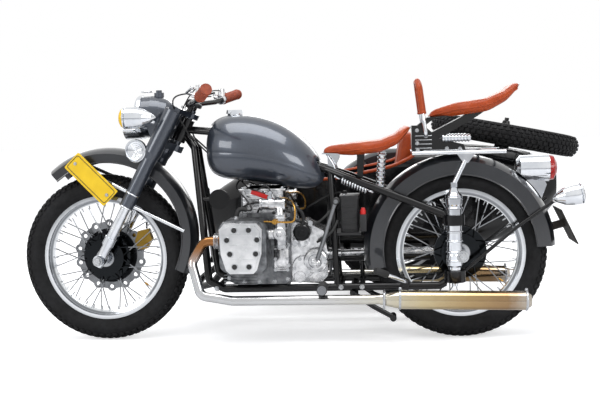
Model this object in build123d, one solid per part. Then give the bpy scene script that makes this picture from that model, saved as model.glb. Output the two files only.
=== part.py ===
# Motorcycle with a sidecar on its right, in millimetres, standing on its three wheels.
# It is drawn with X to the rear from the front axle, Y to the rider's right from the middle of
# the motorcycle and Z up from the floor. At the end all of it moves to the middle of its footprint.
from build123d import *
from math import cos, pi, radians, sin, tan
import os

# Driving sizes of the running gear
wheelbase = 1430.0
sidecar_track = 1130.0      # from the motorcycle's middle to the sidecar wheel's
wheel_lead = 240.0          # the sidecar wheel stands this far before the rear wheel
tyre_radius = 338.0
tyre_width = 96.0
bead_radius = 241.0
rim_lip_radius = 253.0
rim_width = 66.0
rim_wall = 3.0
spoke_count = 36
spoke_size = 4.0
spoke_lace_angle = 26.0     # each spoke leans this far round the hub
hub_radius = 34.0
hub_width = 92.0
flange_radius = 76.0
flange_thickness = 7.0
axle_radius = 10.0
axle_clearance = 0.05

# Driving sizes of the fork and steering
rake = radians(28.5)
steering_offset = 50.0      # from the steering axis to the axle, square to the fork
fork_half_spread = 105.0
leg_radius = 20.0
cover_radius = 28.5
upper_cover_radius = 34.0
head_low = 806.0
head_high = 892.0
head_radius = 27.0
running_gap = 0.3           # between pieces that turn past each other
seat_gap = 0.3              # between a held piece and its seat

# Sheet metal and tubes
guard_wall = 3.0
frame_tube_radius = 15.0
chassis_tube_radius = 19.0
stay_radius = 7.0
hull_wall = 18.0

# Places that several pieces share
lower_rail_height = 222.0
lower_rail_half_width = 110.0
plunger_x = wheelbase - 30.0
plunger_y = 118.0
plunger_low = 232.0
plunger_high = 604.0
plunger_radius = 29.0
cylinder_x = 603.0
cylinder_z = 407.0
head_cover_y = 345.0
hull_middle = 690.0
side_wheel_x = wheelbase - wheel_lead
chassis_height = 262.0
stand_pivot = (1010.0, 0.0, 198.0)
stand_pin_radius = 9.0
lid_slope = radians(11.5)
wheel_z = tyre_radius

centre_min = (Align.CENTER, Align.CENTER, Align.MIN)
pieces = {}


def rod(start, end, radius, end_radius=None):
    """Round bar, or a cone where it has an end radius."""
    run = Vector(*end) - Vector(*start)
    place = Plane(origin=start, z_dir=run)
    if end_radius is None:
        return place * Cylinder(radius, run.length, align=centre_min)
    return place * Cone(radius, end_radius, run.length, align=centre_min)


def tube(points, radius, bend):
    """Round tube along straight runs with bends of one radius."""
    path = FilletPolyline(*points, radius=bend)
    start = Vector(*points[0])
    first_run = Vector(*points[1]) - start
    return sweep(Plane(origin=start, z_dir=first_run) * Circle(radius), path=path)


def both_sides(shape):
    """The shape and its mirror image on the other side of the motorcycle."""
    return [shape, mirror(shape, about=Plane.XZ)]


def side_plate(outline, y_low, y_high):
    """A plate with an outline in X and Z between two side distances."""
    face = make_face(Polyline(*[(x, 0, z) for x, z in outline], close=True))
    plate = extrude(face, amount=y_high - y_low, dir=(0, 1, 0))
    return Pos(0, y_low, 0) * plate


def behind(points):
    """Points whose first number is measured from the rear axle."""
    return [(wheelbase + x, *rest) for x, *rest in points]


def block(low, high, corner=0.0):
    """Box between two corners, its upright edges rounded."""
    size = [b - a for a, b in zip(low, high)]
    middle = [(a + b) / 2 for a, b in zip(low, high)]
    shape = Box(*size)
    if corner > 0:
        shape = fillet(shape.edges().filter_by(Axis.Z), corner)
    return Pos(*middle) * shape


def turned(outline, centre, direction=(0, 1, 0)):
    """Turned piece: its outline is (along the axis, radius) from the centre."""
    place = Plane(origin=centre, z_dir=direction)
    face = make_face(Polyline(*[(radius, 0, along) for along, radius in outline], close=True))
    return place * revolve(face, Axis.Z)


def fused(parts):
    """One solid of pieces that are welded or bolted through."""
    whole = parts[0]
    return whole.fuse(*parts[1:]) if len(parts) > 1 else whole


def cut_to_seat(shape, *rooms):
    """The shape trimmed where the piece that carries it stands."""
    for room in rooms:
        shape = shape - room
    return shape


def radial_point(centre, radius, angle, y=0.0):
    """Point at an angle from +X towards +Z round a centre in X and Z."""
    return (centre[0] + radius * cos(angle), y, centre[1] + radius * sin(angle))


def axis_x(z):
    """Where the steering axis is at a height."""
    return (z - wheel_z) * tan(rake) + steering_offset / cos(rake)


def leg_x(z):
    """Where the fork legs are at a height."""
    return (z - wheel_z) * tan(rake)


def leg_point(z, y):
    return (leg_x(z), y, z)


# Tyres and wire wheels

def tyre(centre, direction=(0, 1, 0)):
    """Tyre with a rounded tread on a narrower bead."""
    half = tyre_width / 2
    bead_half = rim_width / 2 - rim_wall - 1.0
    wide = bead_radius + 0.5 * (tyre_radius - bead_radius)
    shoulder = tyre_radius - 13.0
    outline = [(-bead_half, bead_radius + seat_gap), (-bead_half, rim_lip_radius + 1), (-half + 2, wide - 16),
               (-half, wide), (-half + 3, shoulder - 10), (-half + 12, shoulder), (-half / 3, tyre_radius),
               (half / 3, tyre_radius), (half - 12, shoulder), (half - 3, shoulder - 10), (half, wide),
               (half - 2, wide - 16), (bead_half, rim_lip_radius + 1), (bead_half, bead_radius + seat_gap)]
    return turned(outline, centre, direction)


def wire_wheel(place_at, drum=None, direction=(0, 1, 0)):
    """Rim, laced spokes and hub in one. A drum is (side, radius, width)."""
    centre = (0, 0, 0)
    lip = rim_width / 2
    rim = turned([(-lip, rim_lip_radius), (-lip + rim_wall, rim_lip_radius), (-lip + rim_wall, bead_radius),
                  (-15, bead_radius), (-10, bead_radius - 13), (10, bead_radius - 13), (15, bead_radius),
                  (lip - rim_wall, bead_radius), (lip - rim_wall, rim_lip_radius), (lip, rim_lip_radius),
                  (lip, bead_radius - rim_wall), (17, bead_radius - rim_wall), (12, bead_radius - 17),
                  (-12, bead_radius - 17), (-17, bead_radius - rim_wall), (-lip,
                                                                           bead_radius - rim_wall)], centre)
    half = hub_width / 2
    bore = axle_radius + axle_clearance
    inner_face = half - 2 * flange_thickness
    hub = turned([(-half, bore), (-half, hub_radius), (-inner_face - flange_thickness, hub_radius),
                  (-inner_face - flange_thickness, flange_radius), (-inner_face, flange_radius),
                  (-inner_face, hub_radius), (inner_face, hub_radius), (inner_face, flange_radius),
                  (inner_face + flange_thickness, flange_radius), (inner_face + flange_thickness, hub_radius),
                  (half, hub_radius), (half, bore)], centre)
    parts = [rim, hub]
    if drum is not None:
        side, drum_radius, drum_width = drum
        parts.append(turned([(side * inner_face, bore), (side * inner_face, drum_radius),
                             (side * (inner_face - drum_width), drum_radius),
                             (side * (inner_face - drum_width), bore)], centre))
    spoke_root = flange_radius - 5
    for number in range(spoke_count):
        side = -1 if number % 2 else 1
        lean = spoke_lace_angle if number % 4 < 2 else -spoke_lace_angle
        angle = 2 * pi * number / spoke_count
        root_angle = angle + radians(lean)
        root = Vector(spoke_root * cos(root_angle), side * (inner_face + flange_thickness / 2),
                      spoke_root * sin(root_angle))
        tip = Vector((bead_radius - 15) * cos(angle), side * 5, (bead_radius - 15) * sin(angle))
        run = tip - root
        place = Plane(origin=root, z_dir=run)
        parts.append(place * Box(spoke_size, spoke_size, run.length, align=centre_min))
    wheel = fused(parts)
    if direction == (0, 1, 0):
        return Pos(*place_at) * wheel
    # a wheel that lies down: its axle turns from Y to the direction
    side_x = (direction[2], 0, -direction[0])
    return Plane(origin=place_at, x_dir=side_x, z_dir=direction) * (Rot(90, 0, 0) * wheel)


front_centre = (0, 0, wheel_z)
rear_centre = (wheelbase, 0, wheel_z)
side_centre = (side_wheel_x, sidecar_track, wheel_z)
pieces["front_tyre"] = tyre(front_centre)
pieces["front_wheel"] = wire_wheel(front_centre, (1, 96.0, 40.0))
pieces["rear_tyre"] = tyre(rear_centre)
pieces["rear_wheel"] = wire_wheel(rear_centre, (1, 104.0, 46.0))
pieces["sidecar_tyre"] = tyre(side_centre)
pieces["sidecar_wheel"] = wire_wheel(side_centre, (-1, 96.0, 36.0))

# Front brake disc with a scalloped edge, on the hub's right end
disc_radius = 150.0
disc_bore_radius = 100.0
disc_thickness = 5.0
disc_inner_face = hub_width / 2 - flange_thickness + seat_gap
lobe_count = 14
lobe_radius = 19.0


def brake_disc():
    place = Plane(origin=(0, disc_inner_face, wheel_z), z_dir=(0, 1, 0))
    ring = Circle(disc_radius - 10) - Circle(disc_bore_radius)
    for number in range(lobe_count):
        angle = 2 * pi * number / lobe_count
        ring += Pos((disc_radius - lobe_radius) * cos(angle),
                    (disc_radius - lobe_radius) * sin(angle)) * Circle(lobe_radius)
    for number in range(lobe_count):
        angle = 2 * pi * number / lobe_count
        ring -= Pos((disc_radius - lobe_radius) * cos(angle),
                    (disc_radius - lobe_radius) * sin(angle)) * Circle(8.0)
    carrier = Circle(disc_bore_radius + 1) - Circle(hub_radius + seat_gap)
    return fused([place * extrude(ring, disc_thickness), place * extrude(carrier, disc_thickness)])


pieces["front_disc"] = brake_disc()

# Telescopic fork: bright lower legs with the axle, painted covers and yokes above
cover_low = 548.0
cover_joint = 738.0
cover_top = 926.0
lower_yoke = (770.0, 794.0)     # heights of its two faces at the stem
upper_yoke = (899.0, 917.0)
stem_radius = 15.0
fork_end_y = fork_half_spread + leg_radius + 6


def cover_room(y, low=cover_low - 30, high=cover_top + 30):
    """The space that a fork cover takes, with its seat gap."""
    lower = rod(leg_point(low, y), leg_point(cover_joint, y), cover_radius + seat_gap)
    upper = rod(leg_point(cover_joint, y), leg_point(high, y), upper_cover_radius + seat_gap)
    return fused([lower, upper])


def fork_legs():
    parts = []
    for side in (-1, 1):
        y = side * fork_half_spread
        parts.append(rod(leg_point(wheel_z - 22, y), leg_point(cover_low + 60, y), leg_radius))
        parts.append(rod(leg_point(wheel_z + 60, y), leg_point(wheel_z + 90, y), leg_radius + 4))
        parts.append(rod((0, y - side * (leg_radius + 3), wheel_z), (0, side * fork_end_y, wheel_z), 23.0))
    parts.append(rod((0, -fork_end_y - 9, wheel_z), (0, fork_end_y + 9, wheel_z), axle_radius))
    for side in (-1, 1):
        spacer_end = side * (hub_width / 2 + running_gap)
        parts.append(rod((0, spacer_end, wheel_z), (0, side * (fork_half_spread - leg_radius), wheel_z),
                         15.0))
        parts.append(rod((0, side * fork_end_y, wheel_z), (0, side * (fork_end_y + 12), wheel_z), 15.0))
    return fused(parts)


def fork_covers():
    """Painted fork covers, joined by the lower and the upper yoke and the steering stem."""
    parts = []
    bore = leg_radius + seat_gap
    for side in (-1, 1):
        y = side * fork_half_spread
        parts.append(rod(leg_point(cover_low, y), leg_point(cover_joint, y), cover_radius))
        parts.append(rod(leg_point(cover_joint, y), leg_point(cover_joint + 24, y), cover_radius,
                         upper_cover_radius))
        parts.append(rod(leg_point(cover_joint + 24, y), leg_point(cover_top, y), upper_cover_radius))
    for low, high in (lower_yoke, upper_yoke):
        for side in (-1, 1):
            parts.append(yoke_arm(side, low, high))
        parts.append(rod((axis_x(low), 0, low), (axis_x(high), 0, high), 34.0))
    parts.append(rod((axis_x(lower_yoke[0]), 0, lower_yoke[0]),
                     (axis_x(upper_yoke[1] + 8), 0, upper_yoke[1] + 8),
                     stem_radius))
    for side in (-1, 1):
        y = side * fork_half_spread
        leg_room = rod(leg_point(cover_low - 1, y), leg_point(cover_low + 61, y), bore)
        parts = [fused(parts) - leg_room]
    return parts[0]


def yoke_arm(side, low, high):
    """Arm from a fork cover to the steering stem, as thick as its yoke."""
    direction = Vector(sin(rake), 0, cos(rake))
    y = side * fork_half_spread
    thickness = (high - low) / cos(rake)
    place = Plane(origin=(axis_x(low), 0, low), x_dir=(cos(rake), 0, -sin(rake)), z_dir=direction)
    outline = Polyline((-steering_offset - 20, y), (-22, 0), (26, 0), (24 - steering_offset, y), close=True)
    return place * extrude(make_face(outline), thickness)


pieces["fork_legs"] = fork_legs()
pieces["fork_covers"] = fork_covers()

# Headlamp: a deep shell between the covers, its bright rim with a peak, and its lens
lamp_x = 226.0
lamp_z = 903.0
lamp_radius = 82.0
lamp_face_x = 176.0
lamp_rear_x = 312.0
bezel_front_x = 152.0
bezel_radius = 88.0
lens_radius = 78.0
peak_reach = 62.0


def along_x(outline, y, z):
    """Turned piece with its axis along X: its outline is (x, radius)."""
    return turned([(x, radius) for x, radius in outline], (0, y, z), (1, 0, 0))


ear_y = 112.0
ear_half = 3.0


def behind_cover(side):
    """Everything behind the middle of a fork cover, which its front ear keeps clear of."""
    outline = [(leg_x(700), 700), (leg_x(960), 960), (500, 960), (500, 700)]
    return side_plate(outline, side * ear_y - 10, side * ear_y + 10)


def headlamp_shell():
    shell = along_x([(lamp_face_x, 0), (lamp_face_x, lamp_radius), (lamp_x - 10, lamp_radius + 3),
                     (lamp_x + 24, 80),
                     (lamp_x + 52, 68), (lamp_x + 74, 48), (lamp_rear_x - 4, 24), (lamp_rear_x,
                                                                                   0)], 0, lamp_z)
    ears = []
    for side in (-1, 1):
        y = side * fork_half_spread
        ears.append(cut_to_seat(rod((lamp_x, side * 60, lamp_z - 6), (leg_x(830), y, 830), 14.0),
                                cover_room(y)))
        sheet = side_plate([(206, 894), (212, 868), (236, 790), (258, 745), (330, 745), (330, 900),
                            (250, 902)],
                           side * ear_y - ear_half, side * ear_y + ear_half)
        joined = block((200, min(side * 60, side * ear_y), 870), (240, max(side * 60, side * ear_y), 890))
        ears.append(cut_to_seat(fused([sheet, joined]), cover_room(y), behind_cover(side)))
    switch = rod((lamp_x + 14, 0, lamp_z + lamp_radius - 8), (lamp_x + 14, 0, lamp_z + lamp_radius + 14),
                 20.0)
    cap = rod((lamp_x + 14, 0, lamp_z + lamp_radius + 10), (lamp_x + 14, 0, lamp_z + lamp_radius + 24), 12.0)
    return fused([shell, switch, cap] + ears)


def headlamp_rim():
    ring = along_x([(bezel_front_x, lens_radius), (bezel_front_x + 4, bezel_radius - 4),
                    (bezel_front_x + 12, bezel_radius), (lamp_face_x - seat_gap, bezel_radius),
                    (lamp_face_x - seat_gap, lens_radius)], 0, lamp_z)
    place = Plane(origin=(bezel_front_x + 14, 0, lamp_z), z_dir=(-1, 0, 0), x_dir=(0, 1, 0))
    shade = Circle(bezel_radius + 1) - Circle(bezel_radius - 1.5)
    shade -= Pos(0, bezel_radius - 128) * Rectangle(4 * bezel_radius, 2 * bezel_radius)
    peak = place * extrude(shade, peak_reach)
    return fused([ring, peak])


def headlamp_lens():
    return along_x([(bezel_front_x - 8, 0), (bezel_front_x - 5, 36),
                    (bezel_front_x + 3, lens_radius - seat_gap),
                    (bezel_front_x + 12, lens_radius - seat_gap), (bezel_front_x + 12, 0)], 0, lamp_z)


pieces["headlamp_shell"] = headlamp_shell()
pieces["headlamp_rim"] = headlamp_rim()
pieces["headlamp_lens"] = headlamp_lens()

# Turn signals and the horn on the fork
signal_y = 158.0


def bullet(nose, rear, radius, stem_end):
    """Bullet lamp from its lens end to its pointed end, on a stem."""
    run = Vector(*rear) - Vector(*nose)
    length = run.length
    body = turned([(0, 0), (0, radius - 6), (8, radius), (0.32 * length, radius),
                   (0.6 * length, 0.82 * radius),
                   (0.85 * length, 0.42 * radius), (length, 0)], nose, run)
    stem = rod(tuple(Vector(*nose) + run * 0.35), stem_end, 8.0)
    return fused([body, stem])


front_signal_z = 900.0
front_signal = bullet((138, -signal_y, front_signal_z), (262, -signal_y, front_signal_z), 42.0,
                      (240, -ear_y, 880))
front_signal = cut_to_seat(front_signal, block((100, -ear_y - ear_half - seat_gap, 700), (400, 0, 1000)))
pieces["front_signals"] = Compound(both_sides(front_signal))

horn_centre = (165.0, -112.0, 772.0)


def front_horn():
    body = turned([(0, 0), (0, 44), (10, 44), (14, 40), (30, 36), (46, 22), (52, 0)], horn_centre,
                  (0.25, 1, 0))
    arm = side_plate([(150, 752), (180, 742), (262, 762), (262, 786), (180, 790)], -98, -88)
    return cut_to_seat(fused([body, arm]), cover_room(-fork_half_spread))


pieces["front_horn"] = front_horn()

# Handlebar with grips, levers and a mirror stub
bar_radius = 11.0
grip_radius = 20.5
grip_length = 118.0
bar_points = [(374, 0, 950), (374, -50, 950), (432, -195, 960), (500, -372, 994)]


def handlebar():
    left = tube(bar_points, bar_radius, 22.0)
    parts = both_sides(left)
    x, _, z = bar_points[0]
    yoke_face = upper_yoke[1] - 0.5 * seat_gap
    for y in (-34, 34):
        parts.append(rod((x, y - 12, z), (x, y + 12, z), 19.0))
        reach = (z - yoke_face) / cos(rake)
        foot = (axis_x(yoke_face + seat_gap / cos(rake)) - 6 * cos(rake), y,
                yoke_face + seat_gap / cos(rake) + 6 * sin(rake))
        parts.append(rod(foot, (foot[0] + 26 * sin(rake), y, foot[2] + 26 * cos(rake)), 12.0))
    return fused(parts)


def grip():
    inner, outer = Vector(*bar_points[2]), Vector(*bar_points[3])
    run = (outer - inner).normalized()
    start = outer - run * grip_length
    return Plane(origin=start, z_dir=run) * (Cylinder(grip_radius, grip_length + 8, align=centre_min)
                                             - Cylinder(bar_radius + seat_gap, grip_length, align=centre_min))


def hand_lever():
    """Clamp and blade of the brake or clutch lever."""
    inner, outer = Vector(*bar_points[2]), Vector(*bar_points[3])
    run = (outer - inner).normalized()
    clamp_start = outer - run * (grip_length + 30)
    place = Plane(origin=clamp_start, z_dir=run)
    clamp = place * (Cylinder(19, 24, align=centre_min) - Cylinder(bar_radius + seat_gap, 24,
                                                                   align=centre_min))
    pivot = clamp_start + Vector(-30, 0, 10) + run * 12
    arm = rod(tuple(clamp_start + run * 12 + Vector(-14, 0, 5)), tuple(pivot), 9.0)
    bend = pivot + run * 50 + Vector(-28, 0, -2)
    tip = pivot + run * 148 + Vector(-22, 0, -4)
    blade = tube([tuple(pivot), tuple(bend), tuple(tip)], 5.0, 30.0)
    knob = Pos(*tip) * Sphere(8.0)
    reservoir = rod(tuple(clamp_start + run * 11 + Vector(0, 0, 15)),
                    tuple(clamp_start + run * 11 + Vector(0, 0, 46)), 14.0)
    return fused([clamp, arm, blade, knob, reservoir])


pieces["handlebar"] = handlebar()
pieces["grips"] = Compound(both_sides(grip()))
pieces["hand_levers"] = Compound(both_sides(hand_lever()))

# Mudguards: an arched sheet section carried round part of a circle


def guard_section(half_width, crown, side_depth, wall):
    """Face of a mudguard's section; its local Y is outwards from the wheel."""
    outer = [(-half_width, -crown - side_depth), (-half_width, -crown)]
    inner_half = half_width - wall
    arc = ThreePointArc((-half_width, -crown), (0, 0), (half_width, -crown))
    inner_arc = ThreePointArc((inner_half, -crown - wall / 2), (0, -wall), (-inner_half, -crown - wall / 2))
    edges = Line(outer[0], outer[1]) + arc + Line((half_width, -crown), (half_width, -crown - side_depth))
    edges += Line((half_width, -crown - side_depth), (inner_half, -crown - side_depth))
    edges += Line((inner_half, -crown - side_depth), (inner_half, -crown - wall / 2)) + inner_arc
    edges += Line((-inner_half, -crown - wall / 2), (-inner_half, -crown - side_depth))
    edges += Line((-inner_half, -crown - side_depth), outer[0])
    return make_face(edges.edges())


def mudguard(centre, y, radius, half_width, crown, side_depth, start_deg, end_deg):
    """Sheet guard from a start to an end angle, both from +X towards +Z."""
    angle = radians(start_deg)
    origin = radial_point(centre, radius, angle, y)
    place = Plane(origin=origin, x_dir=(0, 1, 0), z_dir=(sin(angle), 0, -cos(angle)))
    section = place * guard_section(half_width, crown, side_depth, guard_wall)
    return revolve(section, Axis((centre[0], y, centre[1]), (0, -1, 0)), end_deg - start_deg)


front_guard = {"centre": (22.0, 424.0), "radius": 360.0, "half_width": 66.0, "crown": 22.0, "side": 34.0}
rear_guard = {"centre": (wheelbase - 6.0, 352.0), "radius": 376.0, "half_width": 76.0, "crown": 26.0,
              "side": 52.0}
side_guard = {"centre": (side_wheel_x, 352.0), "radius": 372.0, "half_width": 72.0, "crown": 26.0,
              "side": 46.0}


def guard_piece(guard, y, start_deg, end_deg):
    return mudguard(guard["centre"], y, guard["radius"], guard["half_width"], guard["crown"], guard["side"],
                    start_deg, end_deg)


pieces["front_mudguard"] = guard_piece(front_guard, 0, -26, 130.5)
pieces["rear_mudguard"] = guard_piece(rear_guard, 0, 2, 192)
pieces["sidecar_mudguard"] = guard_piece(side_guard, sidecar_track, 14, 172)

# Stays of the front mudguard and the holder of the plate
plate_length = 220.0
plate_height = 84.0
plate_thickness = 2.0
plate_angle = radians(-46)
plate_centre = (-22.0, -108.0, 663.0)
guard_side = front_guard["half_width"] + stay_radius + seat_gap


def guard_stay(side, cover_z, angle, radius):
    """Stay from a fork cover to the mudguard's side, at an angle round the guard."""
    end = radial_point(front_guard["centre"], front_guard["radius"] - 45, radians(angle), side * guard_side)
    stay = rod((leg_x(cover_z), side * fork_half_spread, cover_z), end, radius)
    return cut_to_seat(stay, cover_room(side * fork_half_spread))


def fork_stays():
    stays = []
    for side in (-1, 1):
        for cover_z, angle in ((560, 4), (600, 112)):
            stays.append(guard_stay(side, cover_z, angle, stay_radius))
    # the left front stay carries the plate's bracket
    bracket = side_plate([(-84, 692), (-62, 716), (-26, 690), (-48, 666)], plate_centre[1] + seat_gap,
                         1 - guard_side)
    stays[1] = fused([stays[1], bracket])
    return Compound(stays)


pieces["fork_stays"] = fork_stays()

def front_plate():
    place = Plane(origin=plate_centre, x_dir=(cos(plate_angle), 0, sin(plate_angle)), z_dir=(0, -1, 0))
    plate = place * extrude(RectangleRounded(plate_length, plate_height, 6), plate_thickness)
    return plate


pieces["front_plate"] = front_plate()

# Front brake caliper on the right leg, and its hose


def brake_caliper():
    y_low, y_high = disc_inner_face - 10, disc_inner_face + 24
    body = side_plate([(122, 436), (166, 446), (180, 402), (158, 364), (122, 360), (108, 396)], y_low, y_high)
    slot = side_plate([(60, 520), (200, 520), (200, 300), (60, 300)], disc_inner_face - 1.5,
                      disc_inner_face + disc_thickness + 1.5)
    slot &= turned([(-20, 60), (-20, disc_radius + 4), (60, disc_radius + 4), (60, 60)], (0, 30, wheel_z))
    bracket = side_plate([(36, 412), (130, 436), (140, 380), (60, 372)], y_high - 8, fork_half_spread + 4)
    leg_room = rod(leg_point(wheel_z - 30, fork_half_spread), leg_point(cover_low, fork_half_spread),
                   leg_radius + 4 + seat_gap)
    return cut_to_seat(fused([body - slot, bracket]), leg_room)


pieces["brake_caliper"] = brake_caliper()


# Main frame: steering head, backbone, cradle tubes and rear posts
tank_tunnel_half = 72.0
post_radius = 12.0
collar_radius = plunger_radius + 12.0


def upper_tube(side, radius):
    y = side * plunger_y
    return tube([(axis_x(850) + 4, 0, 850), (470, side * 30, 836), (640, side * 40, 758),
                 (905, side * 50, 680),
                 (985, side * 84, 650), (plunger_x, y, 484)], radius, 40.0)


def cradle_tube(side, radius):
    y = side * lower_rail_half_width
    return tube([(axis_x(840) + 6, 0, 840), (384, side * 34, 775), (438, y, 250),
                 (500, y, lower_rail_height - 4),
                 (plunger_x - 58, y, lower_rail_height), (plunger_x, side * plunger_y,
                                                          plunger_low + 26)], radius, 24.0)


def post_tube(side, radius):
    return rod((945, side * lower_rail_half_width, lower_rail_height), (925, side * 62, 670), radius)


def frame_room(side):
    """The space of one side's frame tubes, with the seat gap."""
    radius = frame_tube_radius + seat_gap
    return fused([upper_tube(side, radius), cradle_tube(side, radius),
                  post_tube(side, post_radius + seat_gap)])


def frame_tubes():
    head = rod((axis_x(head_low), 0, head_low), (axis_x(head_high), 0, head_high), head_radius)
    parts = [head]
    rooms = [rod((axis_x(head_low - 60), 0, head_low - 60), (axis_x(head_high + 60), 0, head_high + 60),
                 stem_radius + axle_clearance)]
    for side in (-1, 1):
        y = side * plunger_y
        parts += [upper_tube(side, frame_tube_radius), cradle_tube(side, frame_tube_radius),
                  post_tube(side, post_radius)]
        for low, high in ((458, 498), (plunger_low + 6, plunger_low + 50)):
            parts.append(rod((plunger_x, y, low), (plunger_x, y, high), collar_radius))
        lug = (stand_pivot[0], y, stand_pivot[2])
        parts.append(rod((lug[0], side * 98, lug[2]), (lug[0], side * 116, lug[2]), 17.0))
        rooms.append(rod((plunger_x, y, plunger_low - 10), (plunger_x, y, plunger_high),
                         plunger_radius + 3 + seat_gap))
        rooms.append(rod((lug[0], side * 80, lug[2]), (lug[0], side * 140, lug[2]),
                         stand_pin_radius + axle_clearance))
    # cross tubes: x, z, half length
    tank_seat = tank_tunnel_half - seat_gap
    for x, z, half in ((520, 813, tank_seat), (800, 711, tank_seat), (925, 674, 58), (1040, 628, 92),
                       (470, lower_rail_height - 2, lower_rail_half_width),
                       (960, lower_rail_height - 1, lower_rail_half_width),
                       (1042, lower_rail_height, lower_rail_half_width)):
        parts.append(rod((x, -half, z), (x, half, z), 11.0))
    guard_x = rear_guard["centre"][0] - rear_guard["radius"] + guard_wall
    parts.append(rod((1042, 0, lower_rail_height), (guard_x - 9.5, 0, 304), 9.0))
    return cut_to_seat(fused(parts), *rooms)


pieces["frame_tubes"] = frame_tubes()

# Plunger rear suspension and the rear axle


def plungers():
    outline = [(-12, 0), (-12, 11), (0, 12), (2, 24), (64, 26), (70, 31), (110, 31), (116, plunger_radius),
               (300, plunger_radius), (306, plunger_radius + 3), (340, plunger_radius + 3), (352, 20),
               (plunger_high - plunger_low, 12), (plunger_high - plunger_low, 0)]
    parts = []
    for side in (-1, 1):
        y = side * plunger_y
        parts.append(turned(outline, (plunger_x, y, plunger_low), (0, 0, 1)))
        parts.append(rod((wheelbase, y - side * 18, wheel_z), (wheelbase, y + side * 20, wheel_z), 22.0))
        parts.append(block((plunger_x, y - 16, wheel_z - 20), (wheelbase, y + 16, wheel_z + 20)))
        spacer_end = side * (hub_width / 2 + running_gap)
        parts.append(rod((wheelbase, spacer_end, wheel_z), (wheelbase, y, wheel_z), 15.0))
    parts.append(rod((wheelbase, -plunger_y - 30, wheel_z), (wheelbase, plunger_y + 30, wheel_z),
                     axle_radius))
    return fused(parts)


pieces["plungers"] = plungers()

# Power unit: crankcase, finned cylinders with their head covers, gearbox, air box and drive

case_front_x = 500.0
case_rear_x = 765.0
case_half_width = 118.0
case_top = 518.0
fin_count = 8
fin_thickness = 4.0
fin_inner_y = 150.0
fin_outer_y = 292.0
fin_width = 178.0
fin_front_x = cylinder_x - fin_width / 2 - 4
fin_rear_x = cylinder_x + fin_width / 2 + 6
port_y = 240.0
port_z = 425.0
inlet_z = 448.0


def engine_block():
    rail_top = lower_rail_height + frame_tube_radius + seat_gap
    outline = [(520, rail_top + 14), (case_front_x, 320), (508, 430), (540, 500), (572, case_top),
               (748, case_top),
               (case_rear_x, 480), (case_rear_x, rail_top + 8), (740, rail_top), (545, rail_top)]
    case = side_plate(outline, -case_half_width, case_half_width)
    sump_half = lower_rail_half_width - frame_tube_radius - 3
    sump = block((548, -sump_half, 206), (745, sump_half, rail_top + 10), 16)
    timing = rod((case_front_x - 18, 0, 380), (case_front_x + 30, 0, 380), 92.0)
    return fused([case, sump, timing])


def fin_plate(y):
    """One cooling fin, with cut corners."""
    place = Plane(origin=(cylinder_x, y, cylinder_z), x_dir=(1, 0, 0), z_dir=(0, -1, 0))
    return place * extrude(RectangleRounded(fin_width, 196, 36), fin_thickness)


def cylinder():
    barrel = rod((cylinder_x, -case_half_width - seat_gap, cylinder_z),
                 (cylinder_x, -fin_outer_y, cylinder_z), 62.0)
    parts = [barrel]
    pitch = (fin_outer_y - fin_inner_y - fin_thickness) / (fin_count - 1)
    for number in range(fin_count):
        parts.append(fin_plate(-fin_inner_y - pitch * number))
    parts.append(rod((cylinder_x, -port_y, port_z), (fin_front_x, -port_y, port_z), 24.0))
    parts.append(rod((cylinder_x, -port_y, inlet_z), (fin_rear_x, -port_y, inlet_z), 22.0))
    return fused(parts)


def head_cover():
    """Cast cover over the valves, narrower at its foot, with eight plugs."""
    outline = [(-60, 94), (60, 94), (80, 72), (76, -20), (58, -80), (44, -94), (-44, -94), (-58, -80),
               (-76, -20), (-80, 72)]
    points = [(cylinder_x + x, -fin_outer_y - seat_gap, cylinder_z + z) for x, z in outline]
    face = make_face(Polyline(*points, close=True))
    cover = extrude(face, amount=head_cover_y - fin_outer_y - 8, dir=(0, -1, 0))
    cap = [(cylinder_x + 0.88 * x, -head_cover_y + 8, cylinder_z + 0.9 * z) for x, z in outline]
    ribs = [block((cylinder_x - 40, -head_cover_y - 3, cylinder_z + z - 3),
                  (cylinder_x + 46, -head_cover_y + 1, cylinder_z + z + 3))
            for z in (12, 52, -42)]
    return fused([cover, extrude(make_face(Polyline(*cap, close=True)), amount=8, dir=(0, -1, 0))] + ribs)


plug_places = [(-22, 70), (32, 70), (-50, 34), (62, 34), (-40, -18), (56, -18), (-24, -66), (30, -66)]
plug_radius = 9.5


def cover_plugs():
    """Dark plugs over the head cover's nuts."""
    return [rod((cylinder_x + x, -head_cover_y, cylinder_z + z),
                (cylinder_x + x, -head_cover_y - 4, cylinder_z + z),
                plug_radius) for x, z in plug_places]


gearbox_rear_x = 908.0


def gearbox():
    outline = [(case_rear_x + seat_gap, 240), (case_rear_x + seat_gap, 470), (820, 478), (895, 440),
               (gearbox_rear_x, 360), (gearbox_rear_x, 262), (880, 232)]
    case = side_plate(outline, -88, 88)
    covers = []
    for x, z, radius, reach in ((866, 320, 44, 26), (814, 300, 46, 22), (806, 410, 34, 20),
                                (800, 262, 26, 30)):
        covers.append(rod((x, -88, z), (x, -88 - reach, z), radius, radius - 4))
    return fused([case] + covers)


def intake():
    """Air box on the crankcase, with a carburettor and a pipe to each cylinder head."""
    box = block((574, -112, case_top + seat_gap), (746, 112, 610), 22)
    parts = [box]
    for side in (-1, 1):
        y = side * port_y
        x = fin_rear_x + 44
        parts.append(tube([(700, side * 90, 578), (x - 14, side * 178, 566), (x, y, 520)], 17.0, 20.0))
        parts.append(rod((x, y, 396), (x, y, 524), 25.0))
        parts.append(rod((fin_rear_x + seat_gap, y, inlet_z), (x, y, inlet_z), 20.0))
        parts.append(rod((x, y, inlet_z + 6), (x, y + side * 34, inlet_z + 6), 21.0))
    return fused(parts)


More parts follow.
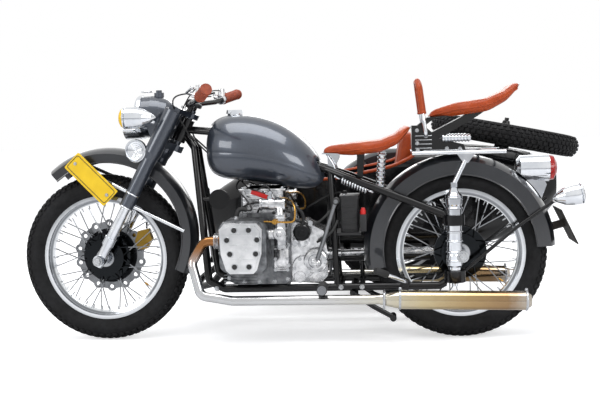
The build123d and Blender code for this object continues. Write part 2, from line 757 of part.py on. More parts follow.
def final_drive():
    """Shaft and bevel box on the side of the sidecar."""
    box_y = hub_width / 2 + 8
    box = turned([(box_y, 15.5), (box_y, 62), (box_y + 8, 70), (box_y + 24, 66), (box_y + 31, 34),
                  (box_y + 31, 15.5)], (wheelbase, 0, wheel_z))
    shaft_y = box_y + 9
    start_x = gearbox_rear_x + seat_gap
    shaft = rod((start_x + 16, shaft_y, 330), (wheelbase - 44, shaft_y, wheel_z), 13.0)
    joint = rod((start_x, shaft_y, 330), (start_x + 46, shaft_y, 330), 24.0, 16.0)
    return cut_to_seat(fused([box, shaft, joint]),
                       rod((plunger_x, plunger_y, 200), (plunger_x, plunger_y, 600),
                           collar_radius + seat_gap),
                       rod((wheelbase, 0, wheel_z), (wheelbase, 200, wheel_z), 15 + seat_gap))


pieces["engine_block"] = engine_block()
pieces["cylinders"] = Compound(both_sides(cylinder()))
pieces["head_covers"] = Compound(both_sides(head_cover()))
pieces["cover_plugs"] = Compound([plug for one in cover_plugs() for plug in both_sides(one)])
pieces["gearbox"] = gearbox()
pieces["intake"] = intake()
pieces["final_drive"] = final_drive()

# Electrical pieces: battery and a round horn by the front down tubes


def battery_case():
    battery = block((962, -66, 430), (1032, 66, 560), 8)
    lid = block((959, -69, 560), (1036, 69, 574), 8)
    tray = block((930, -84, 420), (1040, 84, 430))
    posts = [post_tube(side, post_radius + seat_gap) for side in (-1, 1)]
    return cut_to_seat(fused([battery, lid, tray]), *posts)


pieces["battery"] = battery_case()


def engine_horn():
    body = rod((486, -96, 572), (486, -62, 572), 40.0, 36.0)
    arm = rod((486, -68, 572), (405, -66, 572), 7.0)
    return cut_to_seat(fused([body, arm]), frame_room(-1))


pieces["engine_horn"] = engine_horn()

# Exhausts: header, cone and silencer on both sides
silencer_radius = 35.0
header_radius = 18.0
exhaust_y = 300.0


def exhaust():
    start = (fin_front_x - seat_gap, -port_y, port_z)
    header = tube([start, (448, -port_y, port_z), (404, -270, 346), (440, -exhaust_y, 226),
                   (560, -exhaust_y, 206), (1140, -exhaust_y, 206)], header_radius, 34.0)
    silencer = turned([(0, 0), (0, header_radius + 1.5), (78, silencer_radius), (530, silencer_radius),
                       (552, silencer_radius - 14), (552, 0)], (1110, -exhaust_y, 206), (1, 0, -0.018))
    return fused([header, silencer])


pieces["exhausts"] = Compound(both_sides(exhaust()))

# Foot controls: pegs, kick lever and rear pegs


def foot_controls():
    pegs = []
    for side in (-1, 1):
        rail = lower_rail_half_width * side
        arm = tube([(900, rail, lower_rail_height), (900, side * 176, lower_rail_height + 6),
                    (900, side * 232, 252),
                    (900, side * 365, 252)], 9.0, 20.0)
        rubber = rod((900, side * 268, 252), (900, side * 362, 252), 17.0)
        pegs.append(cut_to_seat(fused([arm, rubber]), cradle_tube(side, frame_tube_radius + seat_gap)))
    kick = tube([(866, -114 - seat_gap, 320), (866, -150, 320), (905, -158, 430), (948, -166, 560),
                 (952, -226, 566)], 8.0, 12.0)
    return Compound(pegs + [kick])


pieces["foot_controls"] = foot_controls()

# Fuel tank, lofted through sections of lines and arcs
tank_sections = [
    # x, half width, bottom z, top z
    (440, 78, 706, 846),
    (470, 122, 668, 884),
    (590, 160, 644, 902),
    (740, 154, 620, 858),
    (850, 114, 606, 768),
    (894, 72, 618, 692),
]


def body_section(x, y, half, low, high):
    """Closed section with a flat floor, full sides and a round top."""
    height = high - low
    points = [(-0.5 * half, low), (0.5 * half, low), (half, low + 0.42 * height), (0, high),
              (-half, low + 0.42 * height)]
    right = ThreePointArc(points[1], (0.87 * half, low + 0.13 * height), points[2])
    top_right = ThreePointArc(points[2], (0.76 * half, low + 0.82 * height), points[3])
    top_left = ThreePointArc(points[3], (-0.76 * half, low + 0.82 * height), points[4])
    left = ThreePointArc(points[4], (-0.87 * half, low + 0.13 * height), points[0])
    outline = Line(points[0], points[1]) + right + top_right + top_left + left
    place = Plane(origin=(x, y, 0), x_dir=(0, 1, 0), z_dir=(1, 0, 0))
    return place * make_face(outline.edges())


def fuel_tank():
    shell = loft([body_section(x, 0, half, low, high) for x, half, low, high in tank_sections])
    tunnel = side_plate([(430, 590), (430, 868), (500, 856), (660, 780), (910, 708), (910, 590)],
                        -tank_tunnel_half, tank_tunnel_half)
    return shell - tunnel


pieces["fuel_tank"] = fuel_tank()
tank_cap = fused([rod((545, 0, 870), (545, 0, 914), 30.0), rod((545, 0, 908), (545, 0, 922), 36.0, 32.0)])
pieces["tank_cap"] = cut_to_seat(tank_cap, pieces["fuel_tank"],
                                 side_plate([(500, 820), (500, 890), (600, 890), (600, 820)], -60, 60))

# Saddles: plain leather forms over their pans
rack_bar_z = rear_guard["centre"][1] + rear_guard["radius"] + seat_gap + 7


def saddle(outline, half_front, half_rear, x_front, x_rear):
    """Saddle with a side outline, narrower at its nose."""
    form = side_plate(outline, -half_rear, half_rear)
    middle = x_front + 0.45 * (x_rear - x_front)
    plan = [(x_front, -half_front), (middle, -half_rear), (x_rear - 30, -half_rear),
            (x_rear, -half_rear + 40),
            (x_rear, half_rear - 40), (x_rear - 30, half_rear), (middle, half_rear), (x_front, half_front)]
    lowest = min(z for _, z in outline) - 10
    highest = max(z for _, z in outline) + 10
    trim = extrude(make_face(Polyline(*[(x, y, lowest) for x, y in plan], close=True)),
                   amount=highest - lowest,
                   dir=(0, 0, 1))
    return form & trim


rider_outline = [(893, 744), (893, 762), (1011, 775), (1122, 784), (1180, 806), (1238, 852), (1241, 838),
                 (1190, 778),
                 (1120, 748), (1010, 738)]
pillion_outline = behind([(-122, 872), (-120, 889), (-12, 921), (104, 934), (170, 962), (222, 1004),
                          (228, 992),
                          (174, 934), (104, 896), (-10, 882)])
pieces["rider_saddle"] = saddle(rider_outline, 34, 128, 893, 1241)
pieces["pillion_saddle"] = saddle(pillion_outline, 34, 124, wheelbase - 122, wheelbase + 228)


def pan(outline, gap, thickness):
    """Steel pan that follows the underside of a saddle."""
    underside = [outline[0]] + outline[:5:-1]
    upper = [(x, z - gap) for x, z in underside]
    lower = [(x, z - gap - thickness) for x, z in reversed(underside)]
    return upper + lower


def seat_frames():
    """Pans, links and springs under both saddles."""
    parts = []
    rider_pan = side_plate(pan(rider_outline, seat_gap, 5), -58, 58)
    pillion_pan = side_plate(pan(pillion_outline, seat_gap, 5), -58, 58)
    link = side_plate([(914, 676), (914, 738), (960, 737), (960, 722), (936, 676)], -30, 30)
    rear_post = side_plate([(1030, 733), (1060, 736), (1050, 622), (1030, 622)], -40, 40)
    box_z = rack_bar_z + 7 + seat_gap
    box = side_plate(behind([(-185, box_z), (-185, 842), (-138, 842), (-80, 790), (16, 764),
                             (22, box_z)]), -60, 60)
    strut = side_plate(behind([(-168, 838), (-134, 838), (-78, 880), (-112, 880)]), -30, 30)
    arm = side_plate(behind([(-134, 800), (-100, 776), (70, 872), (100, 892), (40, 886)]), -40, 40)
    front = cut_to_seat(fused([rider_pan, link, rear_post]),
                        rod((925, -60, 674), (925, 60, 674), 11 + seat_gap), rod((1040, -60, 628),
                                                                                 (1040, 60,
                                                                                  628), 11 + seat_gap))
    rear = cut_to_seat(fused([pillion_pan, box, strut, arm]), side_plate(pillion_outline, -60, 60))
    return Compound([front, rear])


def coil_spring(start, end, radius, turns):
    """Coil spring drawn as a stack of round turns on a core."""
    run = Vector(*end) - Vector(*start)
    pitch = run.length / turns
    outline = [(0, 0), (0, radius - 4)]
    for turn in range(turns):
        outline += [((turn + 0.25) * pitch, radius), ((turn + 0.55) * pitch, radius),
                    ((turn + 0.8) * pitch, radius - 4)]
    outline += [(run.length, radius - 4), (run.length, 0)]
    return turned(outline, start, run)


def saddle_springs():
    """Bright springs: two stand behind under the rider's saddle, and two lie along the pillion's frame."""
    springs = []
    for side in (-1, 1):
        springs.append(coil_spring((1118, side * 84, 606), (1130, side * 84, 742), 17.0, 8))
        y = side * (60 + spring_radius)
        springs.append(coil_spring((wheelbase - 70, y, 790), (wheelbase + 40, y, 790), spring_radius, 9))
    return Compound([cut_to_seat(spring, side_plate(rider_outline, -130, 130),
                                 upper_tube(-1, frame_tube_radius + seat_gap),
                                 upper_tube(1, frame_tube_radius + seat_gap)) for spring in springs])


spring_radius = 15.0
pieces["seat_frames"] = seat_frames()
pieces["saddle_springs"] = saddle_springs()

# Grab handle for the pillion, with its leather wrap
grab_x = wheelbase - 145.0
grab_half = 92.0


def grab_handle():
    foot_y = 60 + seat_gap
    half = [(grab_x + 14, -foot_y, 803), (grab_x + 14, -grab_half, 803)] + grab_points
    return tube(half + [(x, -y, z) for x, y, z in reversed(half)], grab_radius, 16.0)


def grab_wrap():
    """Leather sleeve round the top of the handle."""
    start = tuple(a + (b - a) * 0.2 for a, b in zip(grab_points[0], grab_points[1]))
    half = [start] + grab_points[1:]
    points = half + [(x, -y, z) for x, y, z in reversed(half)]
    return tube(points, 13.0, 16.0) - tube(points, grab_radius + seat_gap, 16.0)


grab_radius = 8.0
grab_points = [(grab_x + 6, -grab_half, 860), (grab_x - 10, -grab_half + 8, 990), (grab_x - 14, -42, 1012)]
pieces["grab_handle"] = grab_handle()
pieces["grab_wrap"] = grab_wrap()

# Luggage rack over the rear mudguard, with V stays from the plungers
rack_half = 112.0
rack_z = rack_bar_z


def luggage_rack():
    parts = []
    for side in (-1, 1):
        y = side * rack_half
        parts.append(rod((wheelbase - 186, y, rack_z), (wheelbase + 170, y, rack_z), 8.0))
        foot = (plunger_x, side * plunger_y, plunger_high + seat_gap)
        strut_top = (wheelbase + 16, y, rack_z - 30)
        parts.append(rod((foot[0], foot[1], foot[2] + 8), strut_top, 9.5))
        ear = behind([(8, rack_z - 40), (26, rack_z - 40), (58, rack_z + 1), (-20, rack_z + 1)])
        parts.append(side_plate(ear, y - 5, y + 5))
        parts.append(rod(foot, (foot[0], foot[1], foot[2] + 18), 16.0))
    for x in (wheelbase - 178, wheelbase - 100, wheelbase - 6, wheelbase + 80, wheelbase + 162):
        parts.append(rod((x, -rack_half, rack_bar_z), (x, rack_half, rack_bar_z), 7.0))
    return fused(parts)


pieces["luggage_rack"] = luggage_rack()

# Lamps, stays and plate at the rear


def guard_room(guard, y):
    """The round space under a mudguard's crown, with a seat gap."""
    centre = guard["centre"]
    return rod((centre[0], y - 90, centre[1]), (centre[0], y + 90, centre[1]), guard["radius"] + seat_gap)


def tail_lamp():
    """Bright lamp body on the mudguard's crown, with its lens in the end."""
    body = along_x(behind([(218, 0), (220, 34), (234, 50), (330, 53), (346, 53), (346, 0)]), 0, 664)
    foot = side_plate(behind([(230, 600), (314, 540), (336, 600), (310, 650), (240, 650)]), -24, 24)
    return cut_to_seat(fused([body, foot]), guard_room(rear_guard, 0))


pieces["tail_lamp"] = tail_lamp()
pieces["tail_lens"] = along_x(behind([(346 + seat_gap, 0), (346 + seat_gap, 50), (364, 46), (375, 26),
                                      (378, 0)]), 0, 664)


def rear_signals():
    stay_room = rod((wheelbase + 210, -rear_stay_y, 440), stay_end, stay_radius + seat_gap)
    left = bullet((wheelbase + 448, -132, 572), (wheelbase + 336, -132, 552), 39.0, stay_end)
    centre, radius = side_guard["centre"], side_guard["radius"]
    crown = (centre[0] + radius * cos(radians(32)), sidecar_track, centre[1] + radius * sin(radians(32)))
    right = bullet((crown[0] + 112, sidecar_track, crown[2] + 40),
                   (crown[0] + 8, sidecar_track, crown[2] + 36), 34.0,
                   (crown[0] - 20, sidecar_track, crown[2] - 14))
    return Compound([cut_to_seat(left, stay_room), cut_to_seat(right, guard_room(side_guard, sidecar_track))])


def rear_stays():
    """Diagonal stays from the plunger feet along the mudguard's tail."""
    foot = (plunger_x, -plunger_y, 250)
    bend = (wheelbase + 210, -rear_stay_y, 440)
    stay = fused([rod(foot, bend, stay_radius), Pos(*bend) * Sphere(stay_radius),
                  rod(bend, stay_end, stay_radius)])
    lug_room = rod((plunger_x, -plunger_y, plunger_low), (plunger_x, -plunger_y, plunger_low + 100),
                   collar_radius + seat_gap)
    return Compound(both_sides(cut_to_seat(stay, lug_room)))


def rear_plate():
    """Bare plate behind the mudguard, on its bracket."""
    holder = side_plate(behind([(376, 506), (381, 506), (445, 372), (440, 372)]), -88, 88)
    bracket = rod((wheelbase + 310, 0, 420), (wheelbase + 406, 0, 446), 16.0)
    return cut_to_seat(fused([holder, bracket]), guard_room(rear_guard, 0))


rear_stay_y = rear_guard["half_width"] + stay_radius + seat_gap
stay_end = (wheelbase + 352, -rear_stay_y, 540)
pieces["rear_signals"] = rear_signals()
pieces["rear_plate"] = rear_plate()


pieces["rear_stays"] = rear_stays()

# Centre stand, folded up under the gearbox
stand_half = 134.0
stand_reach = 150.0
stand_drop = 88.0


def centre_stand():
    x, _, z = stand_pivot
    parts = [rod((x, -stand_half, z), (x, stand_half, z), stand_pin_radius)]
    for side in (-1, 1):
        y = side * stand_half
        foot = (x + stand_reach, y + side * 26, z - stand_drop)
        parts.append(tube([(x, y, z), (x + 72, y, z - 50), foot], 10.0, 30.0))
        parts.append(rod((foot[0], y - side * 4, foot[2]), (foot[0], y + side * 52, foot[2]), 13.0))
    return fused(parts)


pieces["centre_stand"] = centre_stand()

# Sidecar hull: lofted boat form, hollow, with its cockpit and trunk cut
bulkhead_x = 1304.0
well_front_x = 760.0
wall_side_y = 250.0     # from the hull's middle to where its side walls are parted
lid_wall = 4.0
lid_gap = 0.5
lid_overlap = 14.0
trunk_low_x = 1470.0
trunk_high_x = 1780.0
trunk_half = 150.0
hull_sections = [
    # x, half width, bottom z, top z, corner radius
    (262, 58, 396, 468, 30),
    (420, 176, 318, 596, 84),
    (680, 262, 292, 694, 112),
    (1000, 280, 288, 738, 96),
    (1400, 280, 290, 742, 92),
    (1700, 240, 330, 716, 104),
    (1908, 128, 470, 656, 80),
]


def hull_loft(inset):
    """The hull's form, smaller all round by an inset or larger by a negative one."""
    stations = []
    last = len(hull_sections) - 1
    for number, (x, half, low, high, corner) in enumerate(hull_sections):
        end_shift = inset if number == 0 else -inset if number == last else 0
        place = Plane(origin=(x + end_shift, hull_middle, (low + high) / 2), x_dir=(0, 1, 0), z_dir=(1, 0, 0))
        stations.append(place * RectangleRounded(2 * (half - inset), high - low - 2 * inset, corner - inset))
    return loft(stations)


def upright(low_x, high_x, half, corner):
    """Upright prism over a rounded rectangle on the hull's middle line."""
    return block((low_x, hull_middle - half, 200), (high_x, hull_middle + half, 1000), corner)


def sidecar_hull():
    cavity = hull_loft(hull_wall)
    bulkhead = block((bulkhead_x, hull_middle - 400, 200), (bulkhead_x + hull_wall, hull_middle + 400, 900))
    seat_base = block((seat_front_x, hull_middle - 400, 200), (bulkhead_x + 1, hull_middle + 400,
                                                               seat_base_z))
    shell = hull_loft(0) - (cavity - bulkhead - seat_base)
    rim = [(724, 900), (724, 700), (790, 612), (900, 606), (1097, 642), (1175, 658), (1266, 700),
           (1288, 742), (1288, 900)]
    cockpit = side_plate(rim, hull_middle - 400, hull_middle + 400)
    well = upright(well_front_x, bulkhead_x - 16, 226, 60) & block((700, 0, 560), (1400, 1200, 1000))
    trunk = upright(trunk_low_x, trunk_high_x, trunk_half, 40) & block((1400, 0, 560), (2000, 1200, 1000))
    knuckles = []
    for side in (-1, 1):
        y = hull_middle + side * 60
        knuckle = rod((hinge_x, y - 19, hinge_z), (hinge_x, y + 19, hinge_z), hinge_radius)
        foot = block((hinge_x - 18, y - 19, hinge_z - 30), (hinge_x + 2, y + 19, hinge_z))
        knuckles.append(fused([knuckle, foot]) - rod((hinge_x, y - 20, hinge_z), (hinge_x, y + 20, hinge_z),
                                                     hinge_pin_radius + axle_clearance))
    whole = fused([shell - cockpit - well - trunk] + knuckles)
    # flat cuts part the side walls from the floor and the ends, so that each solid stays plain
    solids = []
    nose_end_x = well_front_x + 16
    for low_x, high_x, wall_y in ((0, nose_end_x, 400), (nose_end_x, bulkhead_x, wall_side_y),
                                  (bulkhead_x, 2200, trunk_half)):
        for low_y, high_y in ((-400, -wall_y), (-wall_y, wall_y), (wall_y, 400)):
            if high_y > low_y:
                part = whole & block((low_x, hull_middle + low_y, 0), (high_x, hull_middle + high_y, 1000))
                solids.extend(part.solids())
    return Compound(solids)


seat_front_x = 930.0
seat_base_z = 420.0
hinge_x = trunk_low_x - 24.0
hinge_z = 752.0
hinge_radius = 7.0
hinge_pin_radius = 3.0
spare_centre = (1692.0, hull_middle, 781.0)
spare_normal = (sin(lid_slope), 0, cos(lid_slope))


def along_spare(distance):
    return tuple(a + b * distance for a, b in zip(spare_centre, spare_normal))


def trunk_lid():
    """Lid that lies over the trunk's rim, with its hinge and the spare wheel's stud."""
    cover = hull_loft(-lid_gap - lid_wall) - hull_loft(-lid_gap)
    cover &= upright(trunk_low_x - lid_overlap, trunk_high_x + lid_overlap, trunk_half + lid_overlap, 46)
    cover &= block((1400, 0, 600), (2000, 1200, 1000))
    barrel = rod((hinge_x, hull_middle - 39.7, hinge_z), (hinge_x, hull_middle + 39.7, hinge_z), hinge_radius)
    pin = rod((hinge_x, hull_middle - 80, hinge_z), (hinge_x, hull_middle + 80, hinge_z), hinge_pin_radius)
    leaf = side_plate([(hinge_x - 2, hinge_z + 4), (hinge_x + 2, hinge_z - 6),
                       (hinge_x + 40, hinge_z - 12), (hinge_x + 40, hinge_z - 6)],
                      hull_middle - 39, hull_middle + 39)
    half = hub_width / 2
    pad = rod(along_spare(-half - seat_gap), along_spare(-half - 40), 32.0, 40.0) - hull_loft(-lid_gap)
    stud = rod(along_spare(-half - 6), along_spare(half + 34), axle_radius)
    nut = rod(along_spare(half + seat_gap), along_spare(half + 20), 20.0, 16.0)
    handle = rod(along_spare(half + 26), tuple(a + b for a, b in zip(along_spare(half + 26), (0, 34, 0))),
                 6.0)
    return fused([cover, barrel, pin, leaf - hull_loft(-lid_gap), pad, stud, nut, handle])


pieces["sidecar_hull"] = sidecar_hull()
pieces["trunk_lid"] = trunk_lid()
pieces["spare_tyre"] = tyre(spare_centre, spare_normal)
pieces["spare_wheel"] = wire_wheel(spare_centre, None, spare_normal)

# Cushions of the sidecar's seat
cushion_half = 205.0
cushion_top_z = 512.0


def sidecar_cushions():
    base = block((seat_front_x + 8, hull_middle - cushion_half, seat_base_z + seat_gap),
                 (1236, hull_middle + cushion_half, cushion_top_z), 40)
    outline = [(1150, cushion_top_z + seat_gap), (1196, 640), (1222, 800), (1244, 812), (1278, 800),
               (1276, 700), (1236, cushion_top_z + seat_gap)]
    back = side_plate(outline, hull_middle - 190, hull_middle + 190)
    return Compound([base, back])


pieces["sidecar_cushions"] = sidecar_cushions()

# Sidecar chassis: two long tubes, cross tubes, links to the motorcycle and the wheel's arm
inner_tube_y = 418.0
outer_tube_y = 962.0
rear_cross_x = side_wheel_x - 40.0
front_cross_x = 410.0
rear_end_x = side_wheel_x + 128.0
cross_tube_radius = chassis_tube_radius - 2.0
arm_pivot_x = side_wheel_x - 230.0
arm_y = 1026.0


def sidecar_chassis():
    z = chassis_height
    r = cross_tube_radius
    rail_top = lower_rail_height + frame_tube_radius
    parts = [rod((front_cross_x - 58, inner_tube_y, z), (rear_end_x + 12, inner_tube_y, z),
                 chassis_tube_radius)]
    parts.append(rod((front_cross_x + 60, outer_tube_y, z), (rear_end_x + 12, outer_tube_y, z),
                     chassis_tube_radius))
    parts.append(tube([(front_cross_x, inner_tube_y, z), (front_cross_x, outer_tube_y, z),
                       (front_cross_x + 90, outer_tube_y, z)], r, 60.0))
    parts.append(rod((rear_end_x, inner_tube_y, z), (rear_end_x, outer_tube_y, z), r))
    parts.append(rod((rear_cross_x, lower_rail_half_width, z), (rear_cross_x, outer_tube_y, z), r))
    parts.append(rod((arm_pivot_x, inner_tube_y, z), (arm_pivot_x, arm_y + 22, z), r))
    swan = [(452, lower_rail_half_width + 8, rail_top + 14), (398, 168, 190), (310, 260, 158),
            (322, 360, 188),
            (front_cross_x + 20, inner_tube_y, z)]
    parts.append(tube(swan, 15.0, 34.0))
    parts.append(rod((407, 62, 600), (front_cross_x - 44, inner_tube_y, z), 14.0))
    parts.append(rod((925, 66, 670), (880, inner_tube_y, z), 14.0))
    lug = block((rear_cross_x - 20, lower_rail_half_width - 18, rail_top - 14),
                (rear_cross_x + 20, lower_rail_half_width + 18, z))
    return cut_to_seat(fused(parts + [lug]), frame_room(1))


def sidecar_arm():
    """Trailing arm with the wheel's axle, and the shock absorber over it."""
    z = chassis_height
    hub_end = sidecar_track - hub_width / 2 - running_gap
    parts = [rod((arm_pivot_x, arm_y - 22, z), (arm_pivot_x, arm_y + 22, z), 34.0)]
    parts.append(rod((arm_pivot_x, arm_y, z), (side_wheel_x, arm_y, wheel_z), 19.0))
    parts.append(rod((side_wheel_x, arm_y - 20, wheel_z), (side_wheel_x, hub_end, wheel_z), 26.0))
    parts.append(rod((side_wheel_x, arm_y, wheel_z), (side_wheel_x, sidecar_track + hub_width / 2 + 14,
                                                      wheel_z), axle_radius))
    parts.append(rod((side_wheel_x, sidecar_track + hub_width / 2 + running_gap, wheel_z),
                     (side_wheel_x, sidecar_track + hub_width / 2 + 16, wheel_z), 17.0))
    pivot_room = rod((arm_pivot_x, arm_y - 60, z), (arm_pivot_x, arm_y + 60, z), cross_tube_radius + seat_gap)
    return cut_to_seat(fused(parts), pivot_room)


def hull_mounts():
    """Rubber blocks between the chassis and the hull, and the stays of the outer mudguard."""
    tube_top = chassis_height + chassis_tube_radius
    blocks = []
    for x, y in ((front_cross_x, 620), (front_cross_x, 760), (rear_cross_x, 560), (rear_cross_x, 820),
                 (rear_end_x, 560), (rear_end_x, 820)):
        blocks.append(block((x - 16, y - 24, chassis_height), (x + 16, y + 24, tube_top + 60)))
    rooms = [rod((x, 300, chassis_height), (x, 1100, chassis_height), cross_tube_radius + seat_gap)
             for x in (front_cross_x, rear_cross_x, rear_end_x)]
    hull = hull_loft(-seat_gap)
    seated = [cut_to_seat(shape, hull, *rooms) for shape in blocks]
    return Compound([solid for shape in seated for solid in shape.solids() if solid.center().Z < 330
                     and solid.center().Z > tube_top - 10])


def guard_stays():
    stays = []
    inner_skirt = sidecar_track - side_guard["half_width"]
    for x, angle in ((1080, 116), (rear_end_x - 20, 52)):
        tip = radial_point(side_guard["centre"], side_guard["radius"] - 40, radians(angle),
                           inner_skirt - seat_gap - 9)
        stays.append(rod((x, outer_tube_y, chassis_height + 6), tip, 9.0))
    return stays


pieces["sidecar_chassis"] = fused([sidecar_chassis()] + guard_stays())
pieces["sidecar_arm"] = sidecar_arm()
pieces["hull_mounts"] = hull_mounts()

# Everything moves to the middle of its footprint, on the floor
os.makedirs("parts", exist_ok=True)
extent = Compound(list(pieces.values())).bounding_box()
shift = ((extent.min.X + extent.max.X) / 2, (extent.min.Y + extent.max.Y) / 2, extent.min.Z)
if __name__ == "__main__":
    print("footprint middle", shift, "size", extent.size)
    for name, shape in pieces.items():
        export_step(Pos(-shift[0], -shift[1], -shift[2]) * shape, f"parts/{name}.step")
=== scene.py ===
import math
import bpy
from mathutils import Matrix, Vector


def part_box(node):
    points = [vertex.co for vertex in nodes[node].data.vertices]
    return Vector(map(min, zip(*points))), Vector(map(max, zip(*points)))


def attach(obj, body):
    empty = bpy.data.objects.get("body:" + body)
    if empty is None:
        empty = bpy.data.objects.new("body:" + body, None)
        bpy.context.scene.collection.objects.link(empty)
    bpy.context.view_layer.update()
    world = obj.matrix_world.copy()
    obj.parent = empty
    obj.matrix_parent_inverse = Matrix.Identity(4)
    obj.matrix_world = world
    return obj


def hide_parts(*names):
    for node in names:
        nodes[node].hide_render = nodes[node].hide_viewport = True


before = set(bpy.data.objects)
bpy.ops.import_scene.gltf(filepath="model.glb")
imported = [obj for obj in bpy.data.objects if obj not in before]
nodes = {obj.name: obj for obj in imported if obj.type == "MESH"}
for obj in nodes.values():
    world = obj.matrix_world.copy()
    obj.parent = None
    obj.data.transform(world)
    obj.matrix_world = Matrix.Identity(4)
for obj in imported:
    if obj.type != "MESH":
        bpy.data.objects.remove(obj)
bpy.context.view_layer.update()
print("frame loaded:", len(nodes), "CAD nodes")

# The CAD measures from the front axle, the motorcycle's middle and the floor, in millimetres
mm = 0.001
tyreLow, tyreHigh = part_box("front_tyre")
startX, startY = (tyreLow.x + tyreHigh.x) / 2, (tyreLow.y + tyreHigh.y) / 2
both = (-1, 1)
sides = ((-1, "Near"), (1, "Far"))  # the side that the camera sees, and the sidecar's


def at(x, y, z):
    return Vector((startX + x * mm, startY + y * mm, z * mm))


def inMm(metres, start):
    return (metres - start) / mm


# the main measures that the pieces below share with the CAD
outfit = {
    "wheelbase": 1430.0, "track": 1130.0, "axleHeight": 338.0, "sidecarAxle": 1190.0,
    "rake": 28.5, "forkOffset": 50.0, "hullMiddle": 690.0,
    "spareMiddle": (1692, 690, 781), "spareLean": 11.5,
}
axleZ, forkRake = outfit["axleHeight"], math.radians(outfit["rake"])

# view, floor and light; the place is in millimetres and the focal length in the photograph's pixels
photoWidth, sensorWidth = 600, 36.0
camera = {"x": 1129.9, "y": -3781.4, "z": 878.0, "yaw": -0.08765, "pitch": 0.08479, "roll": -0.02681, "focal": 949.45}
view = bpy.data.cameras.new("photoCamera")
view.sensor_width = sensorWidth
view.lens = camera["focal"] / photoWidth * sensorWidth
viewObject = bpy.data.objects.new("photoCamera", view)
bpy.context.scene.collection.objects.link(viewObject)
yaw, pitch, roll = camera["yaw"], camera["pitch"], camera["roll"]
ahead = Vector((math.sin(yaw) * math.cos(pitch), math.cos(yaw) * math.cos(pitch), -math.sin(pitch)))
right = ahead.cross(Vector((0, 0, 1))).normalized()
above = right.cross(ahead)
rightRolled = right * math.cos(roll) + above * math.sin(roll)
aboveRolled = above * math.cos(roll) - right * math.sin(roll)
turn = Matrix((rightRolled, aboveRolled, -ahead)).transposed().to_4x4()
viewObject.matrix_world = Matrix.Translation(at(camera["x"], camera["y"], camera["z"])) @ turn
view.clip_end = 100
bpy.context.scene.camera = viewObject
bpy.context.scene.view_settings.view_transform = "Standard"
print("camera set")


def toLinear(hexColour, alpha=1.0):
    # sRGB hex to the linear values that a shader wants
    parts = [int(hexColour[i:i + 2], 16) / 255 for i in (1, 3, 5)]
    linear = [c / 12.92 if c <= 0.04045 else ((c + 0.055) / 1.055) ** 2.4 for c in parts]
    return (*linear, alpha)


def addNode(tree, kind, settings=None, links=None):
    node = tree.nodes.new(kind)
    for key, value in (settings or {}).items():
        if isinstance(key, int) or key in node.inputs:
            node.inputs[key].default_value = value
        else:
            setattr(node, key, value)
    for key, source in (links or {}).items():
        tree.links.new(source, node.inputs[key])
    return node


def deselectAll():
    if bpy.context.mode != "OBJECT":
        bpy.ops.object.mode_set(mode="OBJECT")
    bpy.ops.object.select_all(action="DESELECT")


# matt painted floor; the camera sees it as white as the backdrop, and the object's shadow stays
floorValues = {"size": 60, "colour": "#f1f1f2", "roughness": 0.55, "specular": 0.2, "lift": 0.5}
floorLook = bpy.data.materials.new("paleStudioFloor")
floorLook.use_nodes = True
tree = floorLook.node_tree
shader = tree.nodes["Principled BSDF"]
shader.inputs["Base Color"].default_value = toLinear(floorValues["colour"])
shader.inputs["Roughness"].default_value = floorValues["roughness"]
shader.inputs["Specular IOR Level"].default_value = floorValues["specular"]
path = addNode(tree, "ShaderNodeLightPath")
lift = addNode(tree, "ShaderNodeMath", {"operation": "MULTIPLY", 1: floorValues["lift"]},
               {0: path.outputs["Is Camera Ray"]})
tree.links.new(lift.outputs[0], shader.inputs["Emission Strength"])
shader.inputs["Emission Color"].default_value = (1.0, 1.0, 1.0, 1.0)

deselectAll()
bpy.ops.mesh.primitive_plane_add(size=floorValues["size"], location=(0, 0, 0))
floor = bpy.context.object
floor.name = "studioFloor"
bpy.ops.object.transform_apply()
floor.data.materials.append(floorLook)

# the world lights the object softly, and the camera, mirrors and glass see it white
worldValues = {"colour": "#f4f6fa", "strength": 0.55, "seenStrength": 1.0}
world = bpy.data.worlds.new("softStudio")
bpy.context.scene.world = world
world.use_nodes = True
tree = world.node_tree
tree.nodes.clear()
path = addNode(tree, "ShaderNodeLightPath")
seen = addNode(tree, "ShaderNodeMath", {"operation": "MAXIMUM"},
               {0: path.outputs["Is Camera Ray"], 1: path.outputs["Is Transmission Ray"]})
seen = addNode(tree, "ShaderNodeMath", {"operation": "MAXIMUM"}, {0: seen.outputs[0], 1: path.outputs["Is Glossy Ray"]})
lighting = addNode(tree, "ShaderNodeBackground",
                   {"Color": toLinear(worldValues["colour"]), "Strength": worldValues["strength"]})
white = addNode(tree, "ShaderNodeBackground", {"Color": (1, 1, 1, 1), "Strength": worldValues["seenStrength"]})
mixed = addNode(tree, "ShaderNodeMixShader", None, {0: seen.outputs[0], 1: lighting.outputs[0], 2: white.outputs[0]})
addNode(tree, "ShaderNodeOutputWorld", None, {"Surface": mixed.outputs[0]})

studio = {
    # name: place in millimetres from the front axle, aim, size in metres, watts
    "topSoftbox": ((900, -600, 4200), (900, 300, 300), (4.2, 2.4), 130),
    "frontSoftbox": ((-2600, -3400, 2200), (400, 0, 600), (2.2, 1.6), 58),
    "sideSoftbox": ((3400, -3000, 1900), (1200, 0, 500), (1.8, 1.4), 42),
    "rearSoftbox": ((1200, 4200, 2400), (800, 500, 600), (3.0, 1.6), 50),
}
for name, (place, aim, size, watts) in studio.items():
    lamp = bpy.data.lights.new(name, "AREA")
    lamp.shape = "RECTANGLE"
    lamp.size, lamp.size_y = size
    lamp.energy = watts
    lampObject = bpy.data.objects.new(name, lamp)
    bpy.context.scene.collection.objects.link(lampObject)
    start, goal = at(*place), at(*aim)
    lampObject.matrix_world = Matrix.Translation(start) @ (goal - start).to_track_quat("-Z", "Y").to_matrix().to_4x4()
print("stage and lamps set")

